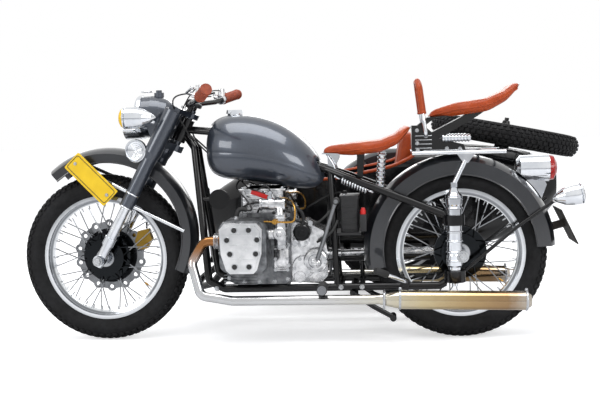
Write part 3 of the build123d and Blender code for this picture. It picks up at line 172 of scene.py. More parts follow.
# Finishes. Object coordinates are metres, and a grain is given in millimetres


def startLook(name, colour, roughness, metallic=0.0, sockets=None):
    look = bpy.data.materials.new(name)
    look.use_nodes = True
    shader = look.node_tree.nodes["Principled BSDF"]
    shader.inputs["Base Color"].default_value = toLinear(colour)
    shader.inputs["Roughness"].default_value = roughness
    shader.inputs["Metallic"].default_value = metallic
    for key, value in (sockets or {}).items():
        shader.inputs[key].default_value = value
    return look, look.node_tree, shader


def objectPlace(tree):
    return addNode(tree, "ShaderNodeTexCoord").outputs["Object"]


def perMm(size):
    # a texture's scale for a cell of this size
    return 1000.0 / size


def perWave(size):
    # a wave texture's scale for stripes this far apart
    return 1000 / size / 6.28


def spread(tree, place, grain, low, high, detail=3.0):
    # noise spread between two values
    noise = addNode(tree, "ShaderNodeTexNoise", {"Scale": perMm(grain), "Detail": detail}, {"Vector": place})
    fitted = addNode(tree, "ShaderNodeMapRange", {"From Min": 0.3, "From Max": 0.7, "To Min": low, "To Max": high},
                     {"Value": noise.outputs["Fac"]})
    return fitted.outputs["Result"]


def raiseBumps(tree, shader, height, depth, strength=1.0):
    # depth is the real height of the pattern in millimetres
    bump = addNode(tree, "ShaderNodeBump", {"Strength": strength, "Distance": depth * mm}, {"Height": height})
    tree.links.new(bump.outputs["Normal"], shader.inputs["Normal"])


def twoColours(tree, share, first, second):
    mixed = addNode(tree, "ShaderNodeMix", {"data_type": "RGBA"}, {0: share})
    mixed.inputs[6].default_value, mixed.inputs[7].default_value = toLinear(first), toLinear(second)
    return mixed.outputs[2]


def clouded(tree, shader, place, grain, dark, light, detail=3.0):
    # the colour wanders between two shades
    tree.links.new(twoColours(tree, spread(tree, place, grain, 0.0, 1.0, detail), dark, light),
                   shader.inputs["Base Color"])


def worn(tree, shader, place, grain, low, high, detail=3.0):
    # the gloss wanders between two values
    tree.links.new(spread(tree, place, grain, low, high, detail), shader.inputs["Roughness"])


def grainy(tree, shader, place, grain, depth, detail):
    raiseBumps(tree, shader, spread(tree, place, grain, 0.0, 1.0, detail), depth)


def rampOf(tree, source, bands):
    ramp = addNode(tree, "ShaderNodeValToRGB", None, {"Fac": source})
    stops = ramp.color_ramp.elements
    while len(stops) < len(bands):
        stops.new(0.5)
    for stop, (position, colour) in zip(stops, bands):
        stop.position, stop.color = position, toLinear(colour)
    return ramp.outputs["Color"]


def makeEnamel(name, deep, light, metallic):
    # metallic two coat enamel: a grey blue flake base under clear lacquer, polished by hand
    look, tree, shader = startLook(name, deep, 0.34, metallic,
                                   {"Coat Weight": 1.0, "Coat Roughness": 0.05, "Coat IOR": 1.5})
    place = objectPlace(tree)
    # the real flake is 0.1 mm and is drawn at 1.1 mm to show
    flake = addNode(tree, "ShaderNodeTexVoronoi", {"Scale": perMm(1.1)}, {"Vector": place})
    flakeShade = addNode(tree, "ShaderNodeSeparateColor", None, {"Color": flake.outputs["Color"]})
    share = addNode(tree, "ShaderNodeMath", {"operation": "MULTIPLY_ADD", 1: 0.4, "use_clamp": True},
                    {0: flakeShade.outputs[0], 2: spread(tree, place, 420, 0.0, 0.35)})
    tree.links.new(twoColours(tree, share.outputs[0], deep, light), shader.inputs["Base Color"])
    worn(tree, shader, place, 60, 0.28, 0.38)
    return look


def finished(name, colour, roughness, metallic=0.0, clouds=None, wear=None, grain=None, sockets=None):
    # clouds are grain, dark, light, detail; wear is grain, low, high, detail; a grain is its size, depth, detail
    look, tree, shader = startLook(name, colour, roughness, metallic, sockets)
    place = objectPlace(tree)
    for effect, values in ((clouded, clouds), (worn, wear), (grainy, grain)):
        if values:
            effect(tree, shader, place, *values)
    return look


gunmetal = makeEnamel("gunmetalMetallicEnamel", "#2c313a", "#4a515d", 0.62)
# the mudguards and their beads take the same gunmetal paint drawn far darker: painted shade, as the rear mudguard lies
# mostly in shadow
guardEnamelPaintedShade = makeEnamel("darkGunmetalGuardEnamel", "#121317", "#22252b", 0.25)

# stove enamel, deep gloss black with a faint orange peel and a little dust
blackEnamel = finished("blackStoveEnamel", "#08080a", 0.2, 0.0, (45, "#060607", "#0f0f11", 6.0), (30, 0.12, 0.26, 6.0),
                       (3.0, 0.02, 1.0), {"Specular IOR Level": 0.25, "Coat Weight": 0.25, "Coat Roughness": 0.05})

# decorative chrome over polished steel, with faint wiping marks
chrome = finished("chromePlate", "#dadde2", 0.07, 1.0, (70, "#cfd3d9", "#e6e8eb", 4.0), (25, 0.04, 0.13, 5.0))

# cast aluminium, buffed by hand: soft waves and a slightly open grain, finer for the covers
buffed = (14, 0.12, 0.28, 6.0)
polishedAluminium = finished("buffedCastAluminium", "#f0f0f1", 0.18, 1.0, (26, "#a3a5a8", "#f0f0f1", 6.0), buffed,
                             (9.0, 0.06, 4.0))
coverAluminium = finished("mirrorBuffedAluminium", "#ededee", 0.18, 1.0, (60, "#c2c4c6", "#ededee", 6.0), buffed,
                          (9.0, 0.04, 4.0))

# sand cast aluminium left as cast: grainy and grey, darker in clouds at random
castAluminium = finished("sandCastAluminium", "#9a9c9f", 0.4, 1.0, (30, "#47494c", "#8f9194", 8.0),
                         (20, 0.34, 0.5, 6.0), (1.6, 0.15, 2.0))

# stainless exhaust, polished: copper coloured by heat at the port, straw gold along the silencer
exhaustValues = {
    "startX": 396, "endX": 1664, "coolZ": 310, "hotZ": 410, "hot": "#94663f",
    "tints": [(0.0, "#c0c1c3"), (0.4, "#c6c6c6"), (0.56, "#c4c1b6"), (0.68, "#bfb08c"), (0.82, "#a88f68"),
              (0.93, "#94795a"), (1.0, "#b4aea4")],
}
tintedSteel, tree, shader = startLook("heatTintedStainlessSteel", "#cfc9bd", 0.14, 1.0)
place = objectPlace(tree)
axes = addNode(tree, "ShaderNodeSeparateXYZ", None, {"Vector": place})
along = addNode(tree, "ShaderNodeMapRange",
                {"From Min": at(exhaustValues["startX"], 0, 0).x, "From Max": at(exhaustValues["endX"], 0, 0).x},
                {"Value": axes.outputs["X"]})
wander = addNode(tree, "ShaderNodeMath", {"operation": "ADD", "use_clamp": True},
                 {0: along.outputs["Result"], 1: spread(tree, place, 30, -0.012, 0.012, 4.0)})
tint = rampOf(tree, wander.outputs[0], exhaustValues["tints"])
# the bend at the port is the only high part, so height shows where the heat was
height = addNode(tree, "ShaderNodeMapRange",
                 {"From Min": exhaustValues["coolZ"] * mm, "From Max": exhaustValues["hotZ"] * mm,
                  "interpolation_type": "SMOOTHSTEP"}, {"Value": axes.outputs["Z"]})
warmed = addNode(tree, "ShaderNodeMix", {"data_type": "RGBA"}, {0: height.outputs["Result"], 6: tint})
warmed.inputs[7].default_value = toLinear(exhaustValues["hot"])
tree.links.new(warmed.outputs[2], shader.inputs["Base Color"])
worn(tree, shader, place, 26, 0.09, 0.2, 5.0)


def makePartPlated(name, roughness, test, border, plated):
    # black enamel that gives way to chrome on one side of a place along the machine
    look, tree, shader = startLook(name, "#0a0a0b", roughness, 0.0)
    axes = addNode(tree, "ShaderNodeSeparateXYZ", None, {"Vector": objectPlace(tree)})
    bright = addNode(tree, "ShaderNodeMath", {"operation": test, 1: at(border, 0, 0).x}, {0: axes.outputs["X"]})
    tree.links.new(twoColours(tree, bright.outputs[0], "#0a0a0b", plated), shader.inputs["Base Color"])
    tree.links.new(bright.outputs[0], shader.inputs["Metallic"])
    return look


stayLook = makePartPlated("mudguardStayMetal", 0.12, "GREATER_THAN", 60, "#d6d9dd")  # chromed behind the fork
carrierLook = makePartPlated("saddleCarrierMetal", 0.16, "LESS_THAN", 1010, "#c9ccd0")  # bright at the rider's nose


def awayFromAxle(tree, centred):
    # the distance from an axle that runs along Y through the origin
    flat = addNode(tree, "ShaderNodeVectorMath", {"operation": "MULTIPLY", 1: (1.0, 0.0, 1.0)},
                   {0: centred.outputs[0]})
    return addNode(tree, "ShaderNodeVectorMath", {"operation": "LENGTH"}, {0: flat.outputs[0]}).outputs["Value"]


# ground brake steel: fine turning marks round the disc, drawn 2.4 mm apart, and a dark coated carrier
discValues = {"marks": 2.4, "carrierRadius": 112, "carrier": "#1b1c1e"}
discSteel, tree, shader = startLook("groundDiscSteel", "#8d8f92", 0.32, 1.0)
centred = addNode(tree, "ShaderNodeMapping", {"Location": tuple(-at(0, 0, axleZ))}, {"Vector": objectPlace(tree)})
marks = addNode(tree, "ShaderNodeTexWave", {"wave_type": "RINGS", "rings_direction": "Y", "Distortion": 1.0,
                                            "Scale": perWave(discValues["marks"]), "Detail": 2.0},
                {"Vector": centred.outputs[0]})
outer = addNode(tree, "ShaderNodeMath", {"operation": "GREATER_THAN", 1: discValues["carrierRadius"] * mm},
                {0: awayFromAxle(tree, centred)})
coated = addNode(tree, "ShaderNodeMix", {"data_type": "RGBA"},
                 {0: outer.outputs[0], 7: twoColours(tree, marks.outputs["Fac"], "#5f6164", "#96989b")})
coated.inputs[6].default_value = toLinear(discValues["carrier"])
tree.links.new(coated.outputs[2], shader.inputs["Base Color"])
raiseBumps(tree, shader, marks.outputs["Fac"], 0.03)

# tyre rubber, carbon black, dull on the walls with a trace of dust
tyreRubber = finished("tyreRubber", "#101011", 0.74, 0.0, (60, "#0b0b0c", "#18181a", 7.0), (18, 0.62, 0.82, 5.0),
                      (1.4, 0.1, 3.0), {"Specular IOR Level": 0.25})
# moulded black rubber for buffers, hoses and foot rests
blackRubber = finished("mouldedBlackRubber", "#151516", 0.6, 0.0, None, (8, 0.5, 0.7, 4.0), (1.2, 0.08, 2.0))
# coloured grip rubber, rust brown, matt from hands
gripRubber = finished("rustBrownGripRubber", "#8a3a1f", 0.52, 0.0, (12, "#7a3019", "#9a4425", 5.0),
                      (10, 0.44, 0.62, 4.0), (0.9, 0.08, 2.0))

# aniline leather: pebble grain, cloudy dye, darker in the valleys and lighter where it rubs
# the real grain is 1.2 mm and is drawn at twice that to show
leatherValues = {"deep": "#742b0e", "middle": "#a33c12", "rubbed": "#b34a17", "grain": 2.4}
tanLeather, tree, shader = startLook("tanAnilineLeather", leatherValues["middle"], 0.45, 0.0,
                                     {"Specular IOR Level": 0.26, "Coat Weight": 0.04, "Coat Roughness": 0.3})
place = objectPlace(tree)
wobble = addNode(tree, "ShaderNodeTexNoise", {"Scale": 180.0}, {"Vector": place})
bent = addNode(tree, "ShaderNodeVectorMath", {"operation": "MULTIPLY_ADD", 1: (0.0016, 0.0016, 0.0016)},
               {0: wobble.outputs["Color"], 2: place})
cells = addNode(tree, "ShaderNodeTexVoronoi", {"Scale": perMm(leatherValues["grain"]), "feature": "DISTANCE_TO_EDGE"},
                {"Vector": bent.outputs[0]})
pebble = addNode(tree, "ShaderNodeMapRange", {"From Min": 0.0, "From Max": 0.16, "interpolation_type": "SMOOTHSTEP"},
                 {"Value": cells.outputs["Distance"]})
cloudy = twoColours(tree, spread(tree, place, 55, 0.0, 1.0, 5.0), leatherValues["middle"], leatherValues["rubbed"])
dyed = addNode(tree, "ShaderNodeMix", {"data_type": "RGBA"}, {0: pebble.outputs["Result"], 7: cloudy})
dyed.inputs[6].default_value = toLinear(leatherValues["deep"])
tree.links.new(dyed.outputs[2], shader.inputs["Base Color"])
worn(tree, shader, place, 16, 0.32, 0.46, 5.0)
raiseBumps(tree, shader, pebble.outputs["Result"], 0.1, 0.6)


def striped(look, gap, depth, wave):
    # ribs, flutes or strands pressed or twisted into a surface
    lines = addNode(look[1], "ShaderNodeTexWave", {"Scale": perWave(gap), **wave}, {"Vector": objectPlace(look[1])})
    raiseBumps(look[1], look[2], lines.outputs["Fac"], depth)
    return look[0]


# waxed linen thread, a little paler than the leather; pressed lamp glass with upright flutes; a ribbed moulded lens
linenThread = striped(startLook("waxedLinenThread", "#b8733f", 0.6, 0.0), 1.2, 0.1, {"bands_direction": "DIAGONAL"})
lampGlass = striped(startLook("flutedLampGlass", "#f4f6f6", 0.03, 0.0, {"Transmission Weight": 1.0, "IOR": 1.5}),
                    6.0, 0.6, {"wave_type": "BANDS", "bands_direction": "Y"})
amberLens = striped(startLook("yellowAcrylicLens", "#f2c40c", 0.12, 0.0, {"Transmission Weight": 0.12, "IOR": 1.49}),
                    5.0, 0.5, {"bands_direction": "Z"})
redLens, tree, shader = startLook("redAcrylicLens", "#b0120f", 0.1, 0.0, {"Transmission Weight": 0.3, "IOR": 1.49})
facets = addNode(tree, "ShaderNodeTexVoronoi", {"Scale": perMm(7.0)}, {"Vector": objectPlace(tree)})
raiseBumps(tree, shader, facets.outputs["Distance"], 0.6)

# enamelled number plate, plain yellow, faintly chalky
yellowEnamel = finished("yellowPlateEnamel", "#f2cb14", 0.36, 0.0, (40, "#dfb70f", "#e8c21c", 6.0),
                        (15, 0.28, 0.46, 4.0))
# battery case, moulded polypropylene
blackPlastic = finished("blackPolypropylene", "#161618", 0.5, 0.0, None, (9, 0.42, 0.58, 3.0), (0.8, 0.05, 1.0))

# one colour whose gloss wanders a little
plateBack = finished("mattPlateBack", "#2a2623", 0.62, wear=(14, 0.54, 0.7, 4.0), sockets={"Specular IOR Level": 0.2})
brass = finished("drawnBrass", "#b58a45", 0.26, 1.0, wear=(8, 0.18, 0.36, 4.0))  # pipes and taps
goldAnodised = finished("goldAnodisedAluminium", "#94762f", 0.34, 0.85, wear=(12, 0.28, 0.42, 3.0))  # brake caliper
zincSteel = finished("zincPlatedSteel", "#b9bbbe", 0.26, 1.0, wear=(5, 0.2, 0.38, 4.0))  # nuts and bolts
satinSteel = finished("satinNickelSteel", "#7f8184", 0.3, 1.0, wear=(9, 0.24, 0.4, 4.0))  # pedals and levers
blackOxide = finished("blackOxideSteel", "#17181a", 0.42, 0.6, wear=(6, 0.34, 0.52, 4.0))
redPlastic = finished("redVinylCap", "#c4140f", 0.38, 0.0, wear=(7, 0.3, 0.46, 3.0))

# chrome rim, stainless spokes and a dark cast hub, told apart by the distance from the axle; the rim's bright and dark
# rings are painted highlights and a painted reflection line
wheelRingsAndPaintedRimHighlights = {
    "reach": 260,  # from the axle, where the share is 1
    # from 0.84 outward the rim's bright rings are painted highlights and the dark ring at 0.885 is a painted reflection
    # line
    "bands": [(0.0, "#a9abae"), (0.135, "#a9abae"), (0.145, "#222426"), (0.395, "#222426"), (0.405, "#7e8083"),
              (0.82, "#85878a"), (0.84, "#e2e4e7"), (0.865, "#d5d8db"), (0.885, "#74777b"), (0.91, "#8a8d91"),
              (0.925, "#dfe1e4"), (0.96, "#c4c7ca")],
}


def makeWheelLook(name, middle, lean=None):
    look, tree, shader = startLook(name, "#cfd2d6", 0.12, 1.0)
    place = objectPlace(tree)
    centred = addNode(tree, "ShaderNodeVectorMath", {"operation": "SUBTRACT", 1: tuple(at(*middle))}, {0: place})
    turned = addNode(tree, "ShaderNodeVectorRotate", {"rotation_type": "X_AXIS", "Angle": 0.0},
                     {"Vector": centred.outputs[0]})
    if lean is not None:  # the spare lies down: its axle turns from up to sideways
        upright = addNode(tree, "ShaderNodeVectorRotate", {"rotation_type": "Y_AXIS", "Angle": math.radians(lean)},
                          {"Vector": centred.outputs[0]})
        tree.links.new(upright.outputs[0], turned.inputs["Vector"])
        turned.inputs["Angle"].default_value = math.radians(90)
    fitted = addNode(tree, "ShaderNodeMapRange", {"From Max": wheelRingsAndPaintedRimHighlights["reach"] * mm},
                     {"Value": awayFromAxle(tree, turned)})
    tree.links.new(rampOf(tree, fitted.outputs["Result"], wheelRingsAndPaintedRimHighlights["bands"]), shader.inputs["Base Color"])
    worn(tree, shader, place, 20, 0.08, 0.2, 4.0)
    return look


frontMiddle, rearMiddle = (0, 0, axleZ), (outfit["wheelbase"], 0, axleZ)
sideMiddle, spareMiddle = (outfit["sidecarAxle"], outfit["track"], axleZ), outfit["spareMiddle"]
wheelLooks = {"front": makeWheelLook("frontWheelMetal", frontMiddle),
              "rear": makeWheelLook("rearWheelMetal", rearMiddle),
              "sidecar": makeWheelLook("sidecarWheelMetal", sideMiddle),
              "spare": makeWheelLook("spareWheelMetal", spareMiddle, outfit["spareLean"])}

# which CAD nodes have each finish
finishes = [
    (tyreRubber, "front_tyre rear_tyre sidecar_tyre spare_tyre"),
    (discSteel, "front_disc"),
    (gunmetal, "fork_covers headlamp_shell fuel_tank"),
    (guardEnamelPaintedShade, "front_mudguard rear_mudguard sidecar_mudguard"),
    (chrome, "fork_legs headlamp_rim front_signals front_horn plungers tank_cap grab_handle luggage_rack tail_lamp"
             " rear_signals saddle_springs"),
    (blackEnamel, "handlebar frame_tubes engine_horn rear_stays centre_stand sidecar_hull trunk_lid sidecar_chassis"
                  " sidecar_arm"),
    (polishedAluminium, "hand_levers gearbox intake final_drive"), (coverAluminium, "head_covers"),
    (castAluminium, "engine_block cylinders"), (tintedSteel, "exhausts"), (satinSteel, "foot_controls"),
    (goldAnodised, "brake_caliper"), (stayLook, "fork_stays"), (carrierLook, "seat_frames"),
    (lampGlass, "headlamp_lens"), (redLens, "tail_lens"), (yellowEnamel, "front_plate"), (plateBack, "rear_plate"),
    (gripRubber, "grips"), (blackRubber, "hull_mounts cover_plugs"), (blackPlastic, "battery"),
    (tanLeather, "rider_saddle pillion_saddle grab_wrap sidecar_cushions"),
] + [(look, name + "_wheel") for name, look in wheelLooks.items()]
for look, nodeNames in finishes:
    for nodeName in nodeNames.split():
        node = nodes[nodeName]
        node.data.materials.clear()
        node.data.materials.append(look)

print("finishes set on the CAD nodes")

# tools for the added pieces. Places are in millimetres from the front axle, the middle and the floor
tip = 0.01  # the radius at a closed end of a turned outline


def makeActive(piece):
    deselectAll()
    piece.select_set(True)
    bpy.context.view_layer.objects.active = piece


def openEdit(piece):
    makeActive(piece)
    bpy.ops.object.mode_set(mode="EDIT")
    bpy.ops.mesh.select_mode(type="VERT")
    bpy.ops.mesh.select_all(action="SELECT")


def settle(piece, name, look, body="frame", angle=35.0, replaced=()):
    # a finished piece stands at the origin, smooth by angle, with one look and its body
    makeActive(piece)
    bpy.ops.object.transform_apply(location=True, rotation=True, scale=True)
    bpy.ops.object.shade_smooth_by_angle(angle=math.radians(angle))
    piece.name = piece.data.name = name
    piece.data.materials.clear()
    piece.data.materials.append(look)
    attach(piece, body)
    if replaced:
        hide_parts(*replaced)
    return piece


def joined(pieces, name, look, body="frame", angle=35.0, replaced=()):
    makeActive(pieces[0])
    for piece in pieces:
        piece.select_set(True)
    if len(pieces) > 1:
        bpy.ops.object.join()
    return settle(pieces[0], name, look, body, angle, replaced)


def turnTo(direction):
    return Vector(direction).to_track_quat("Z", "X").to_matrix()


def placed(start, direction):
    return Matrix.Translation(at(*start)) @ turnTo(direction).to_4x4()


def lathe(outline, start=(0, 0, 0), direction=(0, 0, 1), steps=32):
    # outline of (along, radius) pairs in millimetres, spun round the line from start
    deselectAll()
    bpy.ops.mesh.primitive_plane_add(size=mm, location=(0, 0, 0))
    piece = bpy.context.object
    openEdit(piece)
    bpy.ops.mesh.merge(type="CENTER")
    along, radius = outline[0]
    bpy.ops.transform.translate(value=(radius * mm, 0, along * mm))
    for nextAlong, nextRadius in outline[1:]:
        bpy.ops.mesh.extrude_region_move(TRANSFORM_OT_translate={
            "value": ((nextRadius - radius) * mm, 0, (nextAlong - along) * mm)})
        along, radius = nextAlong, nextRadius
    bpy.ops.mesh.select_all(action="SELECT")
    bpy.ops.mesh.spin(steps=steps, angle=math.tau, center=(0, 0, 0), axis=(0, 0, 1))
    bpy.ops.mesh.select_all(action="SELECT")
    bpy.ops.mesh.remove_doubles(threshold=0.00002)
    bpy.ops.mesh.normals_make_consistent(inside=False)
    bpy.ops.object.mode_set(mode="OBJECT")
    piece.matrix_world = placed(start, direction)
    return piece


def turned(name, outline, start, direction, look, steps=32, body="frame"):
    return settle(lathe(outline, start, direction, steps), name, look, body)


def solid(*outline, end=None):
    # a turned outline closed at both ends, flat or rising to a point at end
    return [(outline[0][0], tip), *outline, (outline[-1][0] if end is None else end, tip)]


def wire(points, radius, order=3, closed=False, sides=6):
    # a smooth tube through millimetre points
    line = bpy.data.curves.new("wire", "CURVE")
    line.dimensions = "3D"
    line.bevel_depth = radius * mm
    line.bevel_resolution = max(0, sides // 2 - 2)
    line.use_fill_caps = True
    run = line.splines.new("NURBS")
    run.points.add(len(points) - 1)
    for spot, point in zip(run.points, points):
        spot.co = (*at(*point), 1.0)
    run.order_u = min(order, len(points))
    run.use_endpoint_u = not closed
    run.use_cyclic_u = closed
    run.resolution_u = 6
    piece = bpy.data.objects.new("wire", line)
    bpy.context.scene.collection.objects.link(piece)
    makeActive(piece)
    bpy.ops.object.convert(target="MESH")
    piece = bpy.context.object
    openEdit(piece)
    bpy.ops.mesh.remove_doubles(threshold=0.00001)
    bpy.ops.mesh.normals_make_consistent(inside=False)
    bpy.ops.object.mode_set(mode="OBJECT")
    return piece


def block(low, high, soft, inset=0.0, depth=0.0, axis=1, sign=-1):
    # a plate with rounded edges; a panel may be pressed into the side that faces sign times the axis
    deselectAll()
    bpy.ops.mesh.primitive_cube_add(size=1, location=at(*[(a + b) / 2 for a, b in zip(low, high)]))
    plate = bpy.context.object
    plate.scale = [(b - a) * mm for a, b in zip(low, high)]
    bpy.ops.object.transform_apply(location=True, rotation=True, scale=True)
    openEdit(plate)
    bpy.ops.mesh.bevel(offset=soft * mm, segments=2)
    if inset:
        bpy.ops.mesh.select_mode(type="FACE")
        bpy.ops.mesh.select_all(action="DESELECT")
        bpy.ops.object.mode_set(mode="OBJECT")
        best = max(plate.data.polygons, key=lambda face: (face.normal[axis] * sign > 0.9) * face.area)
        best.select = True
        bpy.ops.object.mode_set(mode="EDIT")
        bpy.ops.mesh.inset(thickness=inset * mm, depth=0)
        bpy.ops.mesh.inset(thickness=abs(depth) * mm, depth=depth * mm)
    bpy.ops.object.mode_set(mode="OBJECT")
    return plate


def makeBolt(width, height, washer):
    # hexagon head with a chamfer, on a round washer, drawn upright at the origin
    washerDepth, seat = 1.4, 1.2
    deselectAll()
    bpy.ops.mesh.primitive_cylinder_add(vertices=6, radius=width / 2 / math.cos(math.pi / 6) * mm, depth=height * mm,
                                        location=(0, 0, (height / 2 + seat) * mm))
    head = bpy.context.object
    bpy.ops.object.transform_apply(location=True, rotation=True, scale=True)
    openEdit(head)
    bpy.ops.mesh.bevel(offset=0.09 * height * mm, segments=1)
    bpy.ops.mesh.primitive_cylinder_add(vertices=20, radius=washer / 2 * mm, depth=washerDepth * mm,
                                        location=(0, 0, washerDepth / 2 * mm))
    bpy.ops.object.mode_set(mode="OBJECT")
    return head


def scatter(model, spots, name, look, body="frame", angle=35.0):
    # copies of a model, each with its own mesh, at (place, direction) spots, joined as one piece
    copies = []
    basis = model.matrix_world.copy()
    basis.translation = (0, 0, 0)
    for number, (place, direction) in enumerate(spots):
        twin = model.copy()
        twin.data = model.data.copy()
        bpy.context.scene.collection.objects.link(twin)
        spin = Matrix.Rotation(0.7 * number, 4, "Z")  # no two bolts stop at the same angle
        twin.matrix_world = placed(place, direction) @ spin @ basis
        copies.append(twin)
    bpy.data.objects.remove(model)
    return joined(copies, name, look, body, angle)


def bolted(spots, name, body="frame", width=12, height=7):
    return scatter(makeBolt(width, height, width * 1.5), spots, name, zincSteel, body)


def rings(spots, name, look, inner, outer, thick, steps=28, body="frame"):
    # plain turned rings with softened edges
    soft = 0.25 * min(thick, outer - inner)
    model = lathe([(0, inner), (0, outer - soft), (soft, outer), (thick - soft, outer), (thick, outer - soft),
                   (thick, inner), (0, inner)], steps=steps)
    return scatter(model, spots, name, look, body)


def mirrored(points, side):
    # (x, outward, z) points on one side of the motorcycle
    return [(x, side * y, z) for x, y, z in points]


def spaced(points, gap):
    # even spots along a run of points, each with the run's direction there
    spots, left = [], 0.0
    for first, second in zip(points, points[1:]):
        first, second = Vector(first), Vector(second)
        run = second - first
        while left < run.length:
            spots.append((tuple(first + run.normalized() * left), tuple(run.normalized())))
            left += gap
        left -= run.length
    return spots


def around(centre, radius, count, axis, start=0.0):
    # spots on a circle round an axis, facing along it
    spots = []
    for number in range(count):
        angle = start + math.tau * number / count
        out = turnTo(axis) @ Vector((math.cos(angle), math.sin(angle), 0)) * radius
        spots.append((tuple(Vector(centre) + out), tuple(axis)))
    return spots


def rounded(corners, radius, steps=6):
    # a run of points with its corners turned to arcs
    run = [Vector(corners[0])]
    for before, corner, after in zip(corners, corners[1:], corners[2:]):
        corner = Vector(corner)
        inward, outward = (corner - Vector(before)).normalized(), (Vector(after) - corner).normalized()
        bend = inward.angle(outward)
        reach = radius * math.tan(bend / 2)
        first, last = corner - inward * reach, corner + outward * reach
        for number in range(steps + 1):
            share = number / steps
            run.append(first * (1 - share) ** 2 + corner * 2 * share * (1 - share) + last * share ** 2)
    return run + [Vector(corners[-1])]


print("tools ready")

# tyres with a block tread, and the small metal of the wheels
treadValues = {"rows": 72, "height": 5.0, "crown": 338.0, "blockDepth": 9.0, "edge": 1.4, "steps": 96}
rimValues = {"nipples": 40, "nippleRadius": 222.0, "nippleOffset": 4, "valveRadius": 221.0, "valveAngle": 2.2}
carcassSide = [(29.0, 243.0), (29.6, 254.0), (38.0, 264.0), (45.6, 273.5), (46.0, 276.5), (47.0, 278.0), (48.0, 290.0),
               (47.2, 300.0), (45.8, 301.5), (45.6, 305.0), (44.6, 306.5), (42.0, 312.0), (32.6, 320.6)]  # and ribs
lugs = [  # off the middle, below the crown, width, length, lean, and the turn as a share of one row
    (8.6, 4.5, 14.0, 20.0, 0.0, 0.5), (25.0, 10.6, 15.0, 20.0, 0.55, 0.0), (38.6, 21.0, 13.0, 18.0, 0.86, 0.5)]


def tyreTread(name, node, middle, direction, body):
    # the carcass is the CAD tyre's outline less the tread's depth
    side = carcassSide + [(16.0, treadValues["crown"] - treadValues["height"])]
    outline = [(-along, radius) for along, radius in side] + [(along, radius) for along, radius in reversed(side)]
    pieces = [lathe(outline + [outline[0]], steps=treadValues["steps"])]
    step = math.tau / treadValues["rows"]
    for across, below, wide, long, lean, stagger in lugs:
        for sign in both:
            deselectAll()
            bpy.ops.mesh.primitive_cube_add(size=1, location=(0, 0, 0))
            lug = bpy.context.object
            lug.scale = (treadValues["blockDepth"] * mm, long * mm, wide * mm)
            bpy.ops.object.transform_apply(location=True, rotation=True, scale=True)
            openEdit(lug)
            bpy.ops.mesh.bevel(offset=treadValues["edge"] * mm, segments=1)
            bpy.ops.transform.rotate(value=sign * lean, orient_axis="Y", center_override=(0, 0, 0))
            bpy.ops.transform.translate(value=((treadValues["crown"] - below) * mm, 0, sign * across * mm))
            turnShare = stagger if sign > 0 else 0.5 - stagger  # the two sides are half a row apart
            bpy.ops.transform.rotate(value=turnShare * step, orient_axis="Z", center_override=(0, 0, 0))
            bpy.ops.mesh.spin(steps=treadValues["rows"], dupli=True, angle=math.tau, center=(0, 0, 0), axis=(0, 0, 1))
            bpy.ops.object.mode_set(mode="OBJECT")
            pieces.append(lug)
    for piece in pieces:
        piece.matrix_world = placed(middle, direction)
    return joined(pieces, name, tyreRubber, body, 40, (node,))


spareAngle = math.radians(outfit["spareLean"])
wheels = [  # name, middle, axle direction, body
    ("front", frontMiddle, (0, 1, 0), "front_wheel"), ("rear", rearMiddle, (0, 1, 0), "rear_wheel"),
    ("sidecar", sideMiddle, (0, 1, 0), "sidecar_wheel"),
    ("spare", spareMiddle, (math.sin(spareAngle), 0.0, math.cos(spareAngle)), "trunk_lid")]
for name, middle, direction, body in wheels:
    tyreTread(name + "TyreTread", name + "_tyre", middle, direction, body)
    spots = []
    for number, (out, along) in enumerate(around((0, 0, 0), 1.0, rimValues["nipples"], direction)):
        out = Vector(out)
        aside = Vector(direction) * rimValues["nippleOffset"] * (1 if number % 2 else -1)
        spots.append((tuple(Vector(middle) + out * rimValues["nippleRadius"] + aside), tuple(-out)))
    nipple = lathe(solid((0, 3.6), (5, 3.4), (6, 2.6), (15, 2.4), end=16), steps=8)
    scatter(nipple, spots, name + "SpokeNipples", zincSteel, body)
    angle = rimValues["valveAngle"]
    out = turnTo(direction) @ Vector((math.cos(angle), math.sin(angle), 0))
    turned(name + "ValveStem", solid((0, 5), (2, 5), (2, 3.2), (22, 3.2), (23, 4.2), (34, 4.2), end=35),
           tuple(Vector(middle) + out * rimValues["valveRadius"]), tuple(-out), brass, 12, body)
print("tyres and wheel details made")

# padded leather: voxel remesh, pressure, a cap on the swelling, then the seams
padValues = {"voxel": 5.0, "pressure": 2.2, "frames": 20, "quality": 4, "ease": 26, "fill": 0.7,
             "piping": 2.6, "hem": 15.0, "thread": 0.55, "stitchGap": 7.0, "swell": 3.0, "fold": 5.0}


